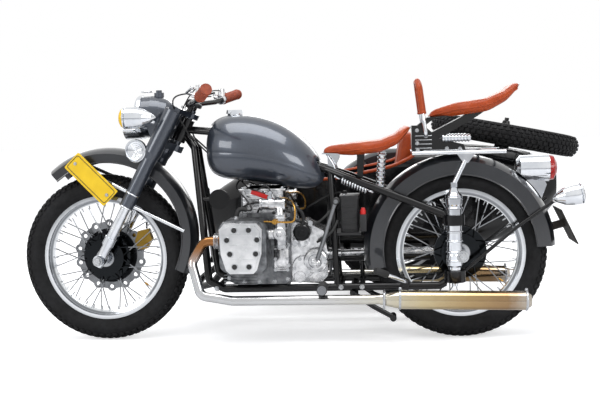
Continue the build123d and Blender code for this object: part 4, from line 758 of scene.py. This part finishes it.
def padded(name, node, cap, shrink, pick=None, channels=()):
    # pick says which part of the CAD node's mesh it takes; channels are sewn lines at fixed widths
    piece = bpy.data.objects.new(name, nodes[node].data.copy())
    bpy.context.scene.collection.objects.link(piece)
    makeActive(piece)
    if pick is not None:
        openEdit(piece)
        bpy.ops.mesh.select_all(action="DESELECT")
        bpy.ops.object.mode_set(mode="OBJECT")
        for vertex in piece.data.vertices:
            vertex.select = not pick(vertex.co)
        bpy.ops.object.mode_set(mode="EDIT")
        bpy.ops.mesh.delete(type="VERT")
        bpy.ops.object.mode_set(mode="OBJECT")
        print(name, "keeps", len(piece.data.vertices), "points")
    openEdit(piece)
    bpy.ops.mesh.remove_doubles(threshold=0.00002)
    bpy.ops.mesh.normals_make_consistent(inside=False)
    bpy.ops.transform.shrink_fatten(value=-shrink * mm)
    bpy.ops.object.mode_set(mode="OBJECT")
    remesh = piece.modifiers.new("remesh", "REMESH")
    remesh.mode, remesh.voxel_size = "VOXEL", padValues["voxel"] * mm
    bpy.ops.object.modifier_apply(modifier=remesh.name)
    start = [vertex.co.copy() for vertex in piece.data.vertices]
    cloth = piece.modifiers.new("cloth", "CLOTH")
    cloth.settings.use_pressure = True
    cloth.settings.uniform_pressure_force = padValues["pressure"]
    cloth.settings.effector_weights.gravity = 0.0
    cloth.settings.quality = padValues["quality"]
    for number in range(1, padValues["frames"] + 1):
        bpy.context.scene.frame_set(number)
    makeActive(piece)
    bpy.ops.object.modifier_apply(modifier=cloth.name)
    bpy.context.scene.frame_set(1)
    for vertex, old in zip(piece.data.vertices, start):
        moved = vertex.co - old
        if moved.length > cap * mm:
            vertex.co = old + moved.normalized() * cap * mm
    ease = piece.modifiers.new("ease", "SMOOTH")
    ease.factor, ease.iterations = 0.5, padValues["ease"]
    bpy.ops.object.modifier_apply(modifier=ease.name)
    for vertex in piece.data.vertices:
        for middle, gap, depth in channels:
            away = (vertex.co.y - at(0, middle, 0).y) / mm
            near = abs(away) < gap / 2
            if near and (vertex.normal.z > 0.2 or vertex.normal.x < -0.3):  # the top and the front only
                swell = math.cos(math.pi / 2 * min(1.0, abs(abs(away) - gap / 2) / (gap / 2))) * padValues["swell"]
                groove = depth * math.exp(-(away / padValues["fold"]) ** 2)
                vertex.co += vertex.normal * (swell - groove) * mm
    split = piece.modifiers.new("split", "SUBSURF")
    split.levels = split.render_levels = 1
    bpy.ops.object.modifier_apply(modifier=split.name)
    return piece


def rimOf(piece, stations, lift=0.0):
    # the widest points of a padded form at stations along it, on both sides
    low, high = [], []
    points = [vertex.co for vertex in piece.data.vertices]
    for station in stations:
        x = at(station, 0, 0).x
        near = [p for p in points if abs(p.x - x) < 6 * mm]
        widest, narrowest = max(p.y for p in near), min(p.y for p in near)
        highRim = [p.z for p in near if p.y > widest - 3 * mm]
        lowRim = [p.z for p in near if p.y < narrowest + 3 * mm]
        high.append((station, inMm(widest, startY), sum(highRim) / len(highRim) / mm + lift))
        low.append((station, inMm(narrowest, startY), sum(lowRim) / len(lowRim) / mm + lift))
    return low, high


def onTop(piece, x, y):
    found, spot, normal, face = piece.ray_cast(at(x, y, 1400), Vector((0, 0, -1)))
    return (spot.z / mm if found else None)


def stitched(points, name, gap=padValues["stitchGap"]):
    thick = padValues["thread"]
    stitch = lathe([(-2.4, tip), (-2.2, thick * 0.7), (-1.4, thick), (1.4, thick), (2.2, thick * 0.7), (2.4, tip)],
                   steps=6)
    return scatter(stitch, spaced(points, gap), name, linenThread)


# the two saddles: where their leather starts and ends along the machine, its piping and its sewn hem
saddleValues = {"cap": 7.0, "shrink": 1.5, "pipingDrop": -3.0, "startInset": 6, "endInset": 10, "stitchLift": 0.2,
                "spans": {"rider": (893, 1241), "pillion": (1308, 1658)},
                "stations": (0, 0.04, 0.1, 0.2, 0.3, 0.4, 0.5, 0.6, 0.7, 0.8, 0.88, 0.94, 0.98, 1)}
for name, (front, rear) in saddleValues["spans"].items():
    node = name + "_saddle"
    pad = padded(name + "SaddleLeather", node, saddleValues["cap"], saddleValues["shrink"])
    settle(pad, name + "SaddleLeather", tanLeather, angle=180, replaced=(node,))
    length = rear - front - saddleValues["startInset"] - saddleValues["endInset"]
    stations = [front + saddleValues["startInset"] + length * share for share in saddleValues["stations"]]
    low, high = rimOf(pad, stations, saddleValues["pipingDrop"])
    settle(wire(low + high[::-1], padValues["piping"], closed=True, sides=8), name + "SaddlePiping", tanLeather)
    for suffix, rim in (("Near", low), ("Far", high)):
        hem = []
        for x, y, z in rim[2:-2]:
            inner = y - math.copysign(padValues["hem"], y)
            top = onTop(pad, x, inner)
            if top is not None:
                hem.append((x, inner, top + saddleValues["stitchLift"]))
        stitched(hem, name + "SaddleStitches" + suffix)
print("saddles padded")

# the sidecar's cushions are one CAD node, split by height into the seat and its back
cushionValues = {"splitZ": 512.2, "cap": 9.0, "shrink": 3.0, "channels": (-117, -39, 39, 117), "width": 78.0,
                 "depth": 6.0, "sewn": (960, 1130, 14), "stitchLift": 0.5, "stitchGap": 8.0}
seatSplit = at(0, 0, cushionValues["splitZ"]).z
seatChannels = [(outfit["hullMiddle"] + offset, cushionValues["width"], cushionValues["depth"])
                for offset in cushionValues["channels"]]


def cushion(name, pick, replaced):
    pad = padded(name, "sidecar_cushions", cushionValues["cap"], cushionValues["shrink"], pick, seatChannels)
    return settle(pad, name, tanLeather, angle=180, replaced=replaced)


seatPad = cushion("sidecarSeatLeather", lambda co: co.z < seatSplit, ("sidecar_cushions",))
cushion("sidecarBackLeather", lambda co: co.z > seatSplit, ())
for middle, gap, depth in seatChannels:
    run = []
    for x in range(*cushionValues["sewn"]):
        top = onTop(seatPad, x, middle)
        if top is not None:
            run.append((x, middle, top + cushionValues["stitchLift"]))
    stitched(run, "seatChannelStitches%d" % middle, cushionValues["stitchGap"])
print("sidecar cushions padded")

# the sewn leather sleeve on the grab handle: rolled ends, and a laced seam along its rear side
sleeve = {"radius": 12.6, "bend": 24.0, "lace": 9.0, "seam": 1.6, "laceAside": 4.2,
          "half": [(1287.8, -90.4, 886), (1275, -84, 990), (1271, -42, 1012)]}
sleeveRun = rounded(sleeve["half"] + mirrored(sleeve["half"][::-1], -1), sleeve["bend"])
settle(wire(sleeveRun, sleeve["radius"], 2, sides=16), "grabSleeve", tanLeather, angle=40, replaced=("grab_wrap",))
for suffix, last, before in (("Near", 0, 1), ("Far", -1, -2)):
    away = (sleeveRun[before] - sleeveRun[last]).normalized()
    turned("grabSleeveHem" + suffix, [(0, 8.6), (0, 13.2), (2, 14.4), (5, 14.4), (7, 13.0), (7, 8.6)],
           tuple(sleeveRun[last] + away * 1.5), tuple(away), tanLeather, 24)
seam = [point + Vector((sleeve["radius"] * 0.97, 0, 0)) for point in sleeveRun]
settle(wire(seam, sleeve["seam"], 2, sides=6), "grabSleeveSeam", tanLeather)
for side, suffix in sides:
    stitched([tuple(point + Vector((-sleeve["seam"], side * sleeve["laceAside"], 0))) for point in seam],
             "grabSleeveLace" + suffix, sleeve["lace"])
print("grab handle sleeve sewn")

# engine, gearbox and carburettors
engine = {
    "cylinder": (603, 345.4, 407), "plugs": [(-22, 70), (32, 70), (-50, 34), (62, 34), (-40, -18), (56, -18),
                                             (-24, -66), (30, -66)],
    "caseFace": 118.0, "timingCover": (482, 0, 380), "timingRadius": 80,
    "portFins": (506, 501, 496, 491), "portY": 240, "portZ": 425,
    "caseBolts": [(520, 262), (512, 330), (520, 420), (548, 492), (590, 508), (735, 508), (754, 470), (756, 390),
                  (756, 310), (752, 255), (700, 246), (640, 246), (580, 246)],
    "gearCovers": [(866, 320, 44, 26), (814, 300, 46, 22), (806, 410, 34, 20)],  # x, z, radius, height
    "gearFace": 88, "uprightRibs": range(640, 694, 9), "lyingRibs": range(236, 284, 12), "bearingRadius": 37.5,
}
cylinderX, coverFace, cylinderZ = engine["cylinder"]
rings([((cylinderX + x, side * coverFace, cylinderZ + z), (0, side, 0)) for x, z in engine["plugs"] for side in both],
      "coverPlugSeats", zincSteel, 9.8, 12.6, 2.2)
bolted([((x, side * engine["caseFace"], z), (0, side, 0)) for side in both for x, z in engine["caseBolts"]],
       "crankcaseBolts", width=11, height=6)
bolted(around(engine["timingCover"], engine["timingRadius"], 10, (-1, 0, 0)), "timingCoverBolts", width=10, height=6)
gearBolts = []
for x, z, radius, height in engine["gearCovers"]:
    gearBolts += around((x, -engine["gearFace"] - height, z), radius - 11, 5, (0, -1, 0), 0.4)
bolted(gearBolts, "gearboxBolts", width=9, height=5)
turned("kickShaftBoss", solid((0, 17), (10, 17), (12, 14), (12, 11), (17, 11), (19, 8)), (866, -146, 320),
       (0, -1, 0), polishedAluminium, 24)

# the air box's pressed lid and its ribs
airBox = {"low": (568, -118, 604), "high": (752, 118, 612), "ribs": (584.1, 736), "ribZ": range(530, 600, 14)}
ribStart, ribEnd = airBox["ribs"]
airRibs = [block((ribStart, side * 115 - 3.5, z), (ribEnd, side * 115 + 3.5, z + 4), 1.2)
           for side in both for z in airBox["ribZ"]]
joined([block(airBox["low"], airBox["high"], 2.0, 14.0, -2.0, 2, 1)] + airRibs, "airBoxLidAndRibs", polishedAluminium)
bolted([((x, y, airBox["high"][2]), (0, 0, 1)) for x in (582, 738) for y in (-104, 0, 104)], "airBoxBolts",
       width=10, height=5)

# one carburettor a side, with its inlet body, fuel and ignition; a route is (x, outward, z)
carburettor = {"x": 742, "y": 240, "rings": (402, 438, 468, 508)}
routes = {  # name: points, radius, look, how many faces go round it
    "throttleCable": ([(705, 240, 612), (702, 240, 632), (676, 206, 626), (640, 150, 606), (600, 96, 616),
                       (560, 56, 650), (500, 40, 690), (430, 34, 760), (366, 24, 822)], 3.2, blackRubber, 6),
    "fuelPipe": ([(682, 262, 499), (720, 265, 498), (770, 264, 494), (796, 260, 497), (800, 250, 520),
                  (796, 226, 556), (770, 170, 578), (722, 104, 574), (700, 92, 570)], 3.6, brass, 8),
    "fuelTapLever": ([(694, 92, 586), (680, 110, 592), (662, 122, 600)], 4.5, chrome, 6),
    "plugCap": ([(576, 236, 518), (580, 236, 540), (596, 232, 548), (612, 224, 540)], 8.5, blackRubber, 10),
    "ignitionLead": ([(610, 225, 541), (640, 200, 530), (600, 150, 580), (548, 116, 620), (560, 40, 640)],
                     3.6, blackRubber, 6),
}
fittings = {  # name: outline, start and direction on the far side, look, steps
    "floatBowl": (solid((0, 22.5), (2, 24.5), (14, 24.5), (17, 22), (17, 12), (24, 11), (27, 8)),
                  (742, 272, 454), (0, 1, 0), polishedAluminium, 28),
    "brassBanjo": (solid((0, 8), (5, 8), (5, 11), (17, 11), (17, 8), (22, 8)), (724, 254, 498), (0, 1, 0), brass, 6),
    "inletBody": (solid((0, 24), (6, 24), (8, 18), (30, 18), (34, 21), (52, 21), (56, 18), (84, 18), (86, 22), (94, 22),
                        (98, 16)), (668, 240, 562), (1, 0, 0), polishedAluminium, 28),
    "inletRiser": (solid((0, 14), (40, 14), (44, 12)), (742, 240, 506), (0, 0, 1), polishedAluminium, 20),
    "tickler": (solid((0, 10), (14, 10), (14, 7), (22, 7), (22, 11), (30, 11), (33, 6), end=36),
                (705, 240, 578), (0, 0, 1), chrome, 16),
    "fuelTap": (solid((0, 7), (3, 7), (3, 9), (12, 9), (12, 7), (28, 6.5), (28, 11), (42, 11), (44, 8), (60, 8),
                      (62, 12), (66, 12)), (694, 92, 540), (0, 0, 1), chrome, 16),
    "sparkPlug": (solid((0, 9), (10, 9), (10, 6.5), (26, 5.5)), (574, 236, 500), (0.1, 0, 1), zincSteel, 12),
}
for side, suffix in sides:
    rings([((carburettor["x"], side * carburettor["y"], z), (0, 0, 1)) for z in carburettor["rings"]],
          "carburettorRings" + suffix, zincSteel, 24.8, 28.0, 5.0)
    for name, (points, radius, look, faces) in routes.items():
        settle(wire(mirrored(points, side), radius, sides=faces), name + suffix, look)
    for name, (outline, start, direction, look, steps) in fittings.items():
        turned(name + suffix, outline, *mirrored((start, direction), side), look, steps)


def slab(side, x0, z0, x1, z1, proud, soft=1.2):
    # a raised pad on the crankcase's flank
    ends = sorted((side * (engine["caseFace"] - 1.0), side * (engine["caseFace"] + proud)))
    return block((x0, ends[0], z0), (x1, ends[1], z1), soft)


for side, suffix in sides:
    ribs = [slab(side, x, 300, x + 3.4, 492, 7.0) for x in engine["uprightRibs"]]
    ribs += [slab(side, 500, z, 632, z + 4, 5.0) for z in engine["lyingRibs"]]
    joined(ribs, "crankcaseRibs" + suffix, castAluminium)
    joined([slab(side, 700, 288, 758, 384, 5.0, 3.0), slab(side, 710, 298, 748, 374, 8.0, 3.0)], "sumpCover" + suffix,
           polishedAluminium)
    bolted([((x, side * (engine["caseFace"] + 5), z), (0, side, 0)) for x in (705, 753) for z in (293, 336, 379)],
           "sumpBolts" + suffix, width=9, height=5)

# the gearbox's bearing housing, the breather cap and the oil filler on the near flank
nearFace = -engine["caseFace"]
turned("bearingHousing", solid((0, 46), (5, 46), (7, 42), (9, 42), (11, 33), (13, 33), (13, 27), (10, 25), (10, 14),
                               (20, 13), (22, 8)), (862, nearFace, 326), (0, -1, 0), polishedAluminium, 44)
bolted(around((862, nearFace - 8, 326), engine["bearingRadius"], 6, (0, -1, 0), 0.3), "bearingBolts",
       width=7, height=4)
turned("breatherCap", solid((0, 34), (8, 34), (10, 31), (26, 30), (30, 26), (30, 12), (33, 10)),
       (812, nearFace, 440), (0, -1, 0), blackOxide, 36)
turned("oilFiller", solid((0, 13), (4, 13), (4, 9), (16, 9), (18, 15), (26, 15), (28, 12)),
       (786, nearFace, 400), (0, -1, 0), zincSteel, 6)

# black hoses and wiring looms between the engine, the air box and the battery: radius, then points
looms = [
    (5.0, [(700, -128, 520), (750, -140, 500), (800, -142, 486), (850, -132, 470), (890, -110, 480), (925, -88, 520)]),
    (4.2, [(560, -122, 520), (590, -150, 552), (650, -156, 566), (720, -140, 540), (770, -130, 520)]),
    (6.5, [(812, -146, 466), (830, -150, 500), (800, -140, 540), (752, -120, 560)]),
    (5.0, [(870, -120, 400), (910, -124, 420), (940, -110, 450), (950, -92, 480)]),
    (3.4, [(640, -116, 520), (650, -128, 545), (690, -132, 556), (730, -124, 548), (760, -112, 530)]),
]
joined([wire(points, radius, sides=8) for radius, points in looms], "wiringLooms", blackRubber)
bolted([((x, -134, z), (0, -1, 0)) for x, z in ((758, 508), (846, 476), (640, 560))], "loomClips", width=14, height=5)

# the red blank tag that hangs from the near fuel tap
tagValues = {"length": 66, "thick": 2, "width": 17, "place": (616, -128, 594), "droop": 20}
tag = block((0, -tagValues["thick"] / 2, 0), (tagValues["length"], tagValues["thick"] / 2, tagValues["width"]), 0.8)
droop = Matrix.Rotation(math.radians(tagValues["droop"]), 4, "Y")
tag.matrix_world = Matrix.Translation(at(*tagValues["place"])) @ droop @ Matrix.Translation(-at(0, 0, 0))
settle(tag, "redTag", redPlastic)

# finned nuts at the exhaust ports, the silencers' clamps and the ribbed foot rests
silencer = {"y": 300, "run": (1, 0, -0.018), "clamps": [(1122, 205.8), (1180, 204.7), (1640, 196.5)],
            "bolts": [(1186, 243), (1644, 234)]}
footRest = {"x": 900, "z": 252, "ribs": range(272, 362, 9)}
for side, suffix in sides:
    rings([((x, side * engine["portY"], engine["portZ"]), (-1, 0, 0)) for x in engine["portFins"]],
          "portNut" + suffix, polishedAluminium, 18.4, 30.0, 2.6)
    rings([((x, side * silencer["y"], z), silencer["run"]) for x, z in silencer["clamps"]], "silencerClamps" + suffix,
          zincSteel, 22.0, 37.6, 9.0)
    bolted([((x, side * silencer["y"], z), (0, 0, 1)) for x, z in silencer["bolts"]], "silencerBolts" + suffix,
           width=10, height=6)
    rings([((footRest["x"], side * y, footRest["z"]), (0, side, 0)) for y in footRest["ribs"]],
          "footRestRibs" + suffix, blackRubber, 16.0, 20.0, 5.0, 20)
rings([((952, y, 566), (0, -1, 0)) for y in range(-172, -228, -8)], "kickRubberRibs", blackRubber, 8.0, 13.0, 5.5, 18)
print("engine details made")

# frame, plungers, battery and seats
rear = {"plungerX": 1400, "plungerY": 118, "rings": (318, 352, 394, 430, 520, 560), "railY": 126, "railZ": 222}
rings([((rear["plungerX"], side * rear["plungerY"], z), (0, 0, 1)) for side in both for z in rear["rings"]],
      "plungerRings", chrome, 28.0, 34.0, 7.0, 36)
bolted([((outfit["wheelbase"], side * 148, axleZ), (0, side, 0)) for side in both], "rearAxleNuts", width=30, height=14)
frameBolts = [((rear["plungerX"], side * 136, z), (0, side, 0)) for side in both for z in (244, 478)]
frameBolts += [((x, side * rear["railY"], rear["railZ"]), (0, side, 0)) for side in both for x in (470, 960, 1042)]
bolted(frameBolts, "frameBolts", width=13, height=8)

# the battery's pressed front and ribs; its rear face carries a relay under the main lead's red cap
battery = {"low": (966, -68, 436), "high": (970, 68, 556), "ribs": (972, 1024), "ribZ": range(440, 550, 22), "top": 574}
ribStart, ribEnd = battery["ribs"]
caseRibs = [block((ribStart, side * 67 - 1.5, z), (ribEnd, side * 67 + 1.5, z + 6), 0.8)
            for side in both for z in battery["ribZ"]]
joined([block(battery["low"], battery["high"], 1.2, 10, -1.0, 0, -1)] + caseRibs, "batteryRibs", blackPlastic)
settle(block((1039, -104, 436), (1064, -74, 503), 2.5), "relayBox", blackPlastic)
turned("batteryRedCap", solid((0, 11), (14, 11), (18, 9), (26, 7)), (1051, -90, 502), (0, 0, 1), redPlastic, 16)
bolted([((976, -42, battery["top"] - 0.5), (0, 0, 1))], "batteryTerminal", width=12, height=6)
turned("batteryBlackCap", solid((0, 9), (9, 9), (12, 7)), (976, 42, battery["top"]), (0, 0, 1), blackPlastic, 16)
settle(wire([(976, -42, 580), (968, -50, 590), (930, -50, 584), (880, -50, 560), (830, -40, 530)], 3.6), "batteryCable",
       blackRubber)

# the pillion's seat box: bolts and pressed trim, and the rack's bolts
seatBox = {"half": 61.5, "bolts": [(1266, 823), (1266, 773), (1268, 745), (1300, 800), (1380, 750), (1430, 748)],
           "rackBolts": (1258, 1340, 1424, 1510, 1590)}
bolted([((x, side * 60, z), (0, side, 0)) for side in both for x, z in seatBox["bolts"]], "seatBoxBolts",
       width=10, height=6)


def trimBar(side, x0, z0, x1, z1):
    middle = side * seatBox["half"]
    return block((x0, middle - 1.5, z0), (x1, middle + 1.5, z1), 0.8)


joined([trimBar(side, 1290, 742, 1440, 746) for side in both] +
       [trimBar(side, 1258, z, 1322, z + 3) for side in both for z in range(752, 816, 16)],
       "seatBoxTrim", zincSteel)
bolted([((x, side * 112, 729.5), (0, 0, 1)) for side in both for x in seatBox["rackBolts"]], "rackBolts",
       width=11, height=6)

# rolled edges of the mudguards
guards = {  # centre (x, z), radius, half width, middle y, first and last angle, body
    "front": ((22, 424), 304, 66, 0, -26.0, 130.5, "steering"),
    "rear": ((1424, 352), 298, 76, 0, 2.0, 192.0, "frame"),
    "sidecar": ((1190, 352), 300, 72, 1130, 14.0, 172.0, "frame"),
}
beadStep, beadRadius = 8, 3.4
for name, ((centreX, centreZ), radius, half, middle, low, high, body) in guards.items():
    beads = []
    for side in both:
        steps = int((high - low) / beadStep)
        angles = [math.radians(low + (high - low) * number / steps) for number in range(steps + 1)]
        beads.append(wire([(centreX + radius * math.cos(angle), middle + side * (half - 0.5),
                            centreZ + radius * math.sin(angle)) for angle in angles], beadRadius, sides=8))
    joined(beads, name + "GuardBeads", guardEnamelPaintedShade, body)

# the rider's saddle is held down by a lying coil spring on each side
coil = {"start": (968, 80, 640), "end": (1068, 80, 596), "radius": 15.0, "wire": 3.0, "turns": 10, "around": 18,
        "hooks": (26, 6)}
for side, suffix in sides:
    start, end = [Vector(point) for point in mirrored((coil["start"], coil["end"]), side)]
    run = end - start
    ahead = run.normalized()
    upward = ahead.cross(Vector((0, 1, 0))).normalized()
    points = [start - ahead * hook for hook in coil["hooks"]]
    for number in range(coil["turns"] * coil["around"] + 1):
        angle = math.tau * number / coil["around"]
        out = upward * math.sin(angle) + Vector((0, math.cos(angle), 0))
        points.append(start + run * number / (coil["turns"] * coil["around"]) + out * coil["radius"])
    points += [end + ahead * hook for hook in reversed(coil["hooks"])]
    settle(wire(points, coil["wire"], 2), "saddleCoil" + suffix, chrome, angle=60)

# the passenger's foot rest on the near side: a bright bent rod from a clamp on the lower rail
passengerRest = {"rod": [(1209, -126, 236), (1209, -250, 262), (1113, -330, 313)], "bend": 40.0, "radius": 7.0}
settle(wire(rounded(passengerRest["rod"], passengerRest["bend"]), passengerRest["radius"], sides=10),
       "passengerRestRod", chrome, angle=60)
turned("passengerRestRubber", solid((0, 11), (3, 13), (58, 13), (61, 11)), (1140, -307.5, 298.7), (-27, -22.5, 14.3),
       blackRubber, 24)
turned("passengerRestClamp", solid((0, 17), (2, 19), (22, 19), (24, 17)), (1209, -114, 234), (0, -1, 0.2),
       blackEnamel, 24)

# the nose hinge's bright rods, from the rider's saddle down to the lying springs
hinges = [[(912, 34, 738), (938, 52, 704), (950, 70, 664), (944, 80, 648)],
          [(1078, 80, 592), (1092, 84, 590), (1100, 92, 600)]]
joined([wire(mirrored(rod, side), 4.6, sides=8) for rod in hinges for side in both], "saddleHingeRods", chrome,
       angle=60)
print("frame details made")

# steering: lamps, horn, cables and clamps
lamp = {"x": 176.0, "z": 903.0, "signalY": 158, "signalZ": 900}
turned("headlampReflector", [(0, tip), (2, 16), (6, 34), (11, 52), (15, 66), (16, 70), (14, 70), (9, 55), (4, 36),
                             (0, 18), (-1.5, tip)], (lamp["x"] - 0.5, 0, lamp["z"]), (-1, 0, 0), chrome, 48, "steering")
turned("headlampBulb", solid((0, 9), (6, 9), (7, 7), (14, 7), (17, 4), end=18), (lamp["x"] - 1, 0, lamp["z"]),
       (-1, 0, 0), lampGlass, 20, "steering")
frontLens = lathe(solid((0, 38), (5, 38), (13, 33), (19, 22), (22, 8), end=22.5))
scatter(frontLens, [((137.4, side * lamp["signalY"], lamp["signalZ"]), (-1, 0, 0)) for side in both],
        "frontSignalLenses", amberLens, "steering", 50)
rings([((141, side * lamp["signalY"], lamp["signalZ"]), (-1, 0, 0)) for side in both], "frontSignalRims", chrome,
      37.0, 43.0, 6.0, 40, "steering")
signalRun = (112, 0, 20)  # the rear signal's own lean
rearLens = lathe(solid((0, 31), (3, 31), (6, 26), (8, 18), end=9))
scatter(rearLens, [((1879, -132, 572.2), signalRun), ((1618.6, 1130, 589.2), (104, 0, 4))], "rearSignalLenses",
        lampGlass, angle=50)
rings([((1874, -132, 571.3), signalRun)], "rearSignalRim", chrome, 30.0, 39.5, 6.0, 40)

horn = {"place": (165, -112, 772), "aim": (-0.25, -1, 0), "waves": [(6, 7), (12, 14), (20, 22), (28, 30)]}
turned("hornRim", [(0, 37), (0, 43.5), (2, 45.5), (7, 45.5), (9, 43), (9, 39), (5, 37), (0, 37)], horn["place"],
       horn["aim"], chrome, 40, "steering")
face = [(0, tip)]
for number, (crest, trough) in enumerate(horn["waves"]):
    face += [(3 if number else 2, crest), (1, trough)]
hornX, hornY, hornZ = horn["place"]
turned("hornFace", face + [(3, 36), (0, 38)], (hornX, hornY - 0.4, hornZ), horn["aim"], chrome, 40, "steering")
rings([((190, 0, 1001), (0, 0, 1))], "switchRing", chrome, 19.5, 23.5, 6.0, body="steering")


def onAxis(z):
    # a place on the steering's axis
    return ((z - axleZ) * math.tan(forkRake) + outfit["forkOffset"] / math.cos(forkRake), 0.0, z)


axisLine = (math.sin(forkRake), 0, math.cos(forkRake))
damper = lathe(solid((0, 10), (6, 10), (6, 24), (9, 27), (20, 27), (24, 22), (26, 8)), onAxis(935), axisLine, 9)
settle(damper, "steeringDamperKnob", blackPlastic, "steering", 25)
bolted([((374, side * 30, 962), (-0.3, 0, 1)) for side in both], "handlebarClampBolts", "steering", 12, 8)

# grips: flanges at both ends and ribs between, on the bar's far end
bar = {"end": Vector((500, 372, 994)), "run": Vector((68, 177, 34)).normalized(), "flanges": (4, 124),
       "ribs": range(12, 118, 7), "pivot": 138}


def onBar(back, side):
    flip = Vector((1, side, 1))
    return tuple((bar["end"] - bar["run"] * back) * flip), tuple(bar["run"] * flip)


rings([onBar(back, side) for side in both for back in bar["flanges"]], "gripFlanges", gripRubber, 15.0, 22.6, 5.0, 32,
      "steering")
rings([onBar(back, side) for side in both for back in bar["ribs"]], "gripRibs", gripRubber, 16.0, 21.5, 3.4, 32,
      "steering")
pivots = [(bar["end"] - bar["run"] * bar["pivot"] + Vector((-30, 0, 10))) * Vector((1, side, 1)) for side in both]
bolted([(tuple(pivot + Vector((0, 0, 8))), (0, 0, 1)) for pivot in pivots], "leverPivotBolts", "steering", 10, 6)

# control cables leave the levers, dip in front of the bar and run in behind the lamp
leads = {  # points as (x, outward, z), radius
    "leverCable": ([(408, 246, 985), (370, 226, 984), (330, 170, 968), (318, 96, 932), (344, 52, 870), (372, 40, 812)],
                   3.0),
    "throttleSleeve": ([(452, 242, 1006), (436, 190, 1012), (392, 110, 990), (350, 62, 940), (330, 40, 900)], 2.6),
}
for side, suffix in sides:
    for name, (points, radius) in leads.items():
        settle(wire(mirrored(points, side), radius), name + suffix, blackRubber, "steering")
# brake hose from the right reservoir down the fork to the caliper
hose = [(420, 262, 1000), (392, 232, 996), (330, 176, 940), (262, 142, 820), (206, 144, 700), (150, 150, 590),
        (136, 132, 500), (140, 106, 440)]
settle(wire(hose, 4.2, sides=8), "brakeHose", blackRubber, "steering")
bolted([((0, side * 143, axleZ), (0, side, 0)) for side in both], "frontAxleNuts", "steering", 26, 12)

# the blank plate: a raised black border and a bolt at each end
plate = {"middle": (-22.0, -110.4, 663.0), "lean": -46.0, "half": 110.0, "rise": 38.0, "inset": 6.0, "bolts": 88,
         "corner": 9.0, "border": 1.3}
slope = Vector((math.cos(math.radians(plate["lean"])), 0, math.sin(math.radians(plate["lean"]))))
rise = Vector((-slope.z, 0, slope.x))
plateMiddle = Vector(plate["middle"])
far, tall = plate["half"] - plate["inset"], plate["rise"] - plate["inset"]
corners = [(0, -1), (1, -1), (1, 1), (-1, 1), (-1, -1), (0, -1)]
border = rounded([tuple(plateMiddle + slope * a * far + rise * b * tall) for a, b in corners], plate["corner"], 4)
settle(wire(border, plate["border"], 2, sides=6), "plateBorder", blackPlastic, "steering")
bolted([(tuple(plateMiddle + slope * side * plate["bolts"]), (0, -1, 0)) for side in both], "plateBolts", "steering",
       9, 4)
rings([(((z - axleZ) * math.tan(forkRake) + 0.5, side * 105, z), axisLine) for side in both for z in (548, 600)],
      "forkCoverRings", chrome, 22.0, 31.0, 5.0, 36, "steering")
print("steering details made")

# sidecar: a rolled edge round the cockpit, trim along the outer side, a mat and the passenger's rail
sidecar = {
    "rim": [(730, 694), (758, 654), (790, 614), (845, 609), (900, 607), (960, 617), (1030, 630), (1097, 643),
            (1175, 659), (1222, 680), (1266, 701), (1284, 726)],
    "rollRadius": 9.5, "rollInset": 8.0, "stripZ": 548, "strip": range(300, 1890, 60), "stripRadius": 4.0,
    "rivetZ": 566, "rivets": range(360, 1860, 120),
}
hull, hullMiddle = nodes["sidecar_hull"], outfit["hullMiddle"]


def hullSide(x, z, side):
    # the hull's skin at a station, met from outside
    found, spot, normal, face = hull.ray_cast(at(x, hullMiddle + side * 500, z), Vector((0, -side, 0)))
    return inMm(spot.y, startY) if found else None


for side, suffix in sides:
    skin = [(x, hullSide(x, z - 8, side), z) for x, z in sidecar["rim"]]
    roll = [(x, y - side * sidecar["rollInset"], z + 1) for x, y, z in skin if y is not None]
    settle(wire(roll, sidecar["rollRadius"], sides=12), "cockpitRoll" + suffix, tanLeather)
skin = [(x, hullSide(x, sidecar["stripZ"], 1)) for x in sidecar["strip"]]
settle(wire([(x, y + 0.8, sidecar["stripZ"]) for x, y in skin if y is not None], sidecar["stripRadius"], sides=8),
       "hullStrip", chrome)
skin = [(x, hullSide(x, sidecar["rivetZ"], 1)) for x in sidecar["rivets"]]
rivet = lathe([(0, tip), (0, 4.5), (1.54, 4.5), (2.024, 3.87), (2.2, 2.7), (3.0, tip)], steps=20)
scatter(rivet, [((x, y, sidecar["rivetZ"]), (0, 1, 0)) for x, y in skin if y is not None], "hullRivets", zincSteel,
        angle=60)
mat = [block((778, 486, 308.5), (924, 894, 313), 1.5)]
mat += [block((784, y, 312.5), (918, y + 8, 316), 1.0) for y in range(492, 900, 24)]
joined(mat, "footMat", blackRubber)
rail = [(800, 560, 668), (806, 560, 640), (812, 580, 628), (812, 690, 628), (812, 800, 628), (806, 820, 640),
        (800, 820, 668)]
settle(wire(rail, 6.0, sides=10), "passengerRail", chrome)
print("sidecar details made")
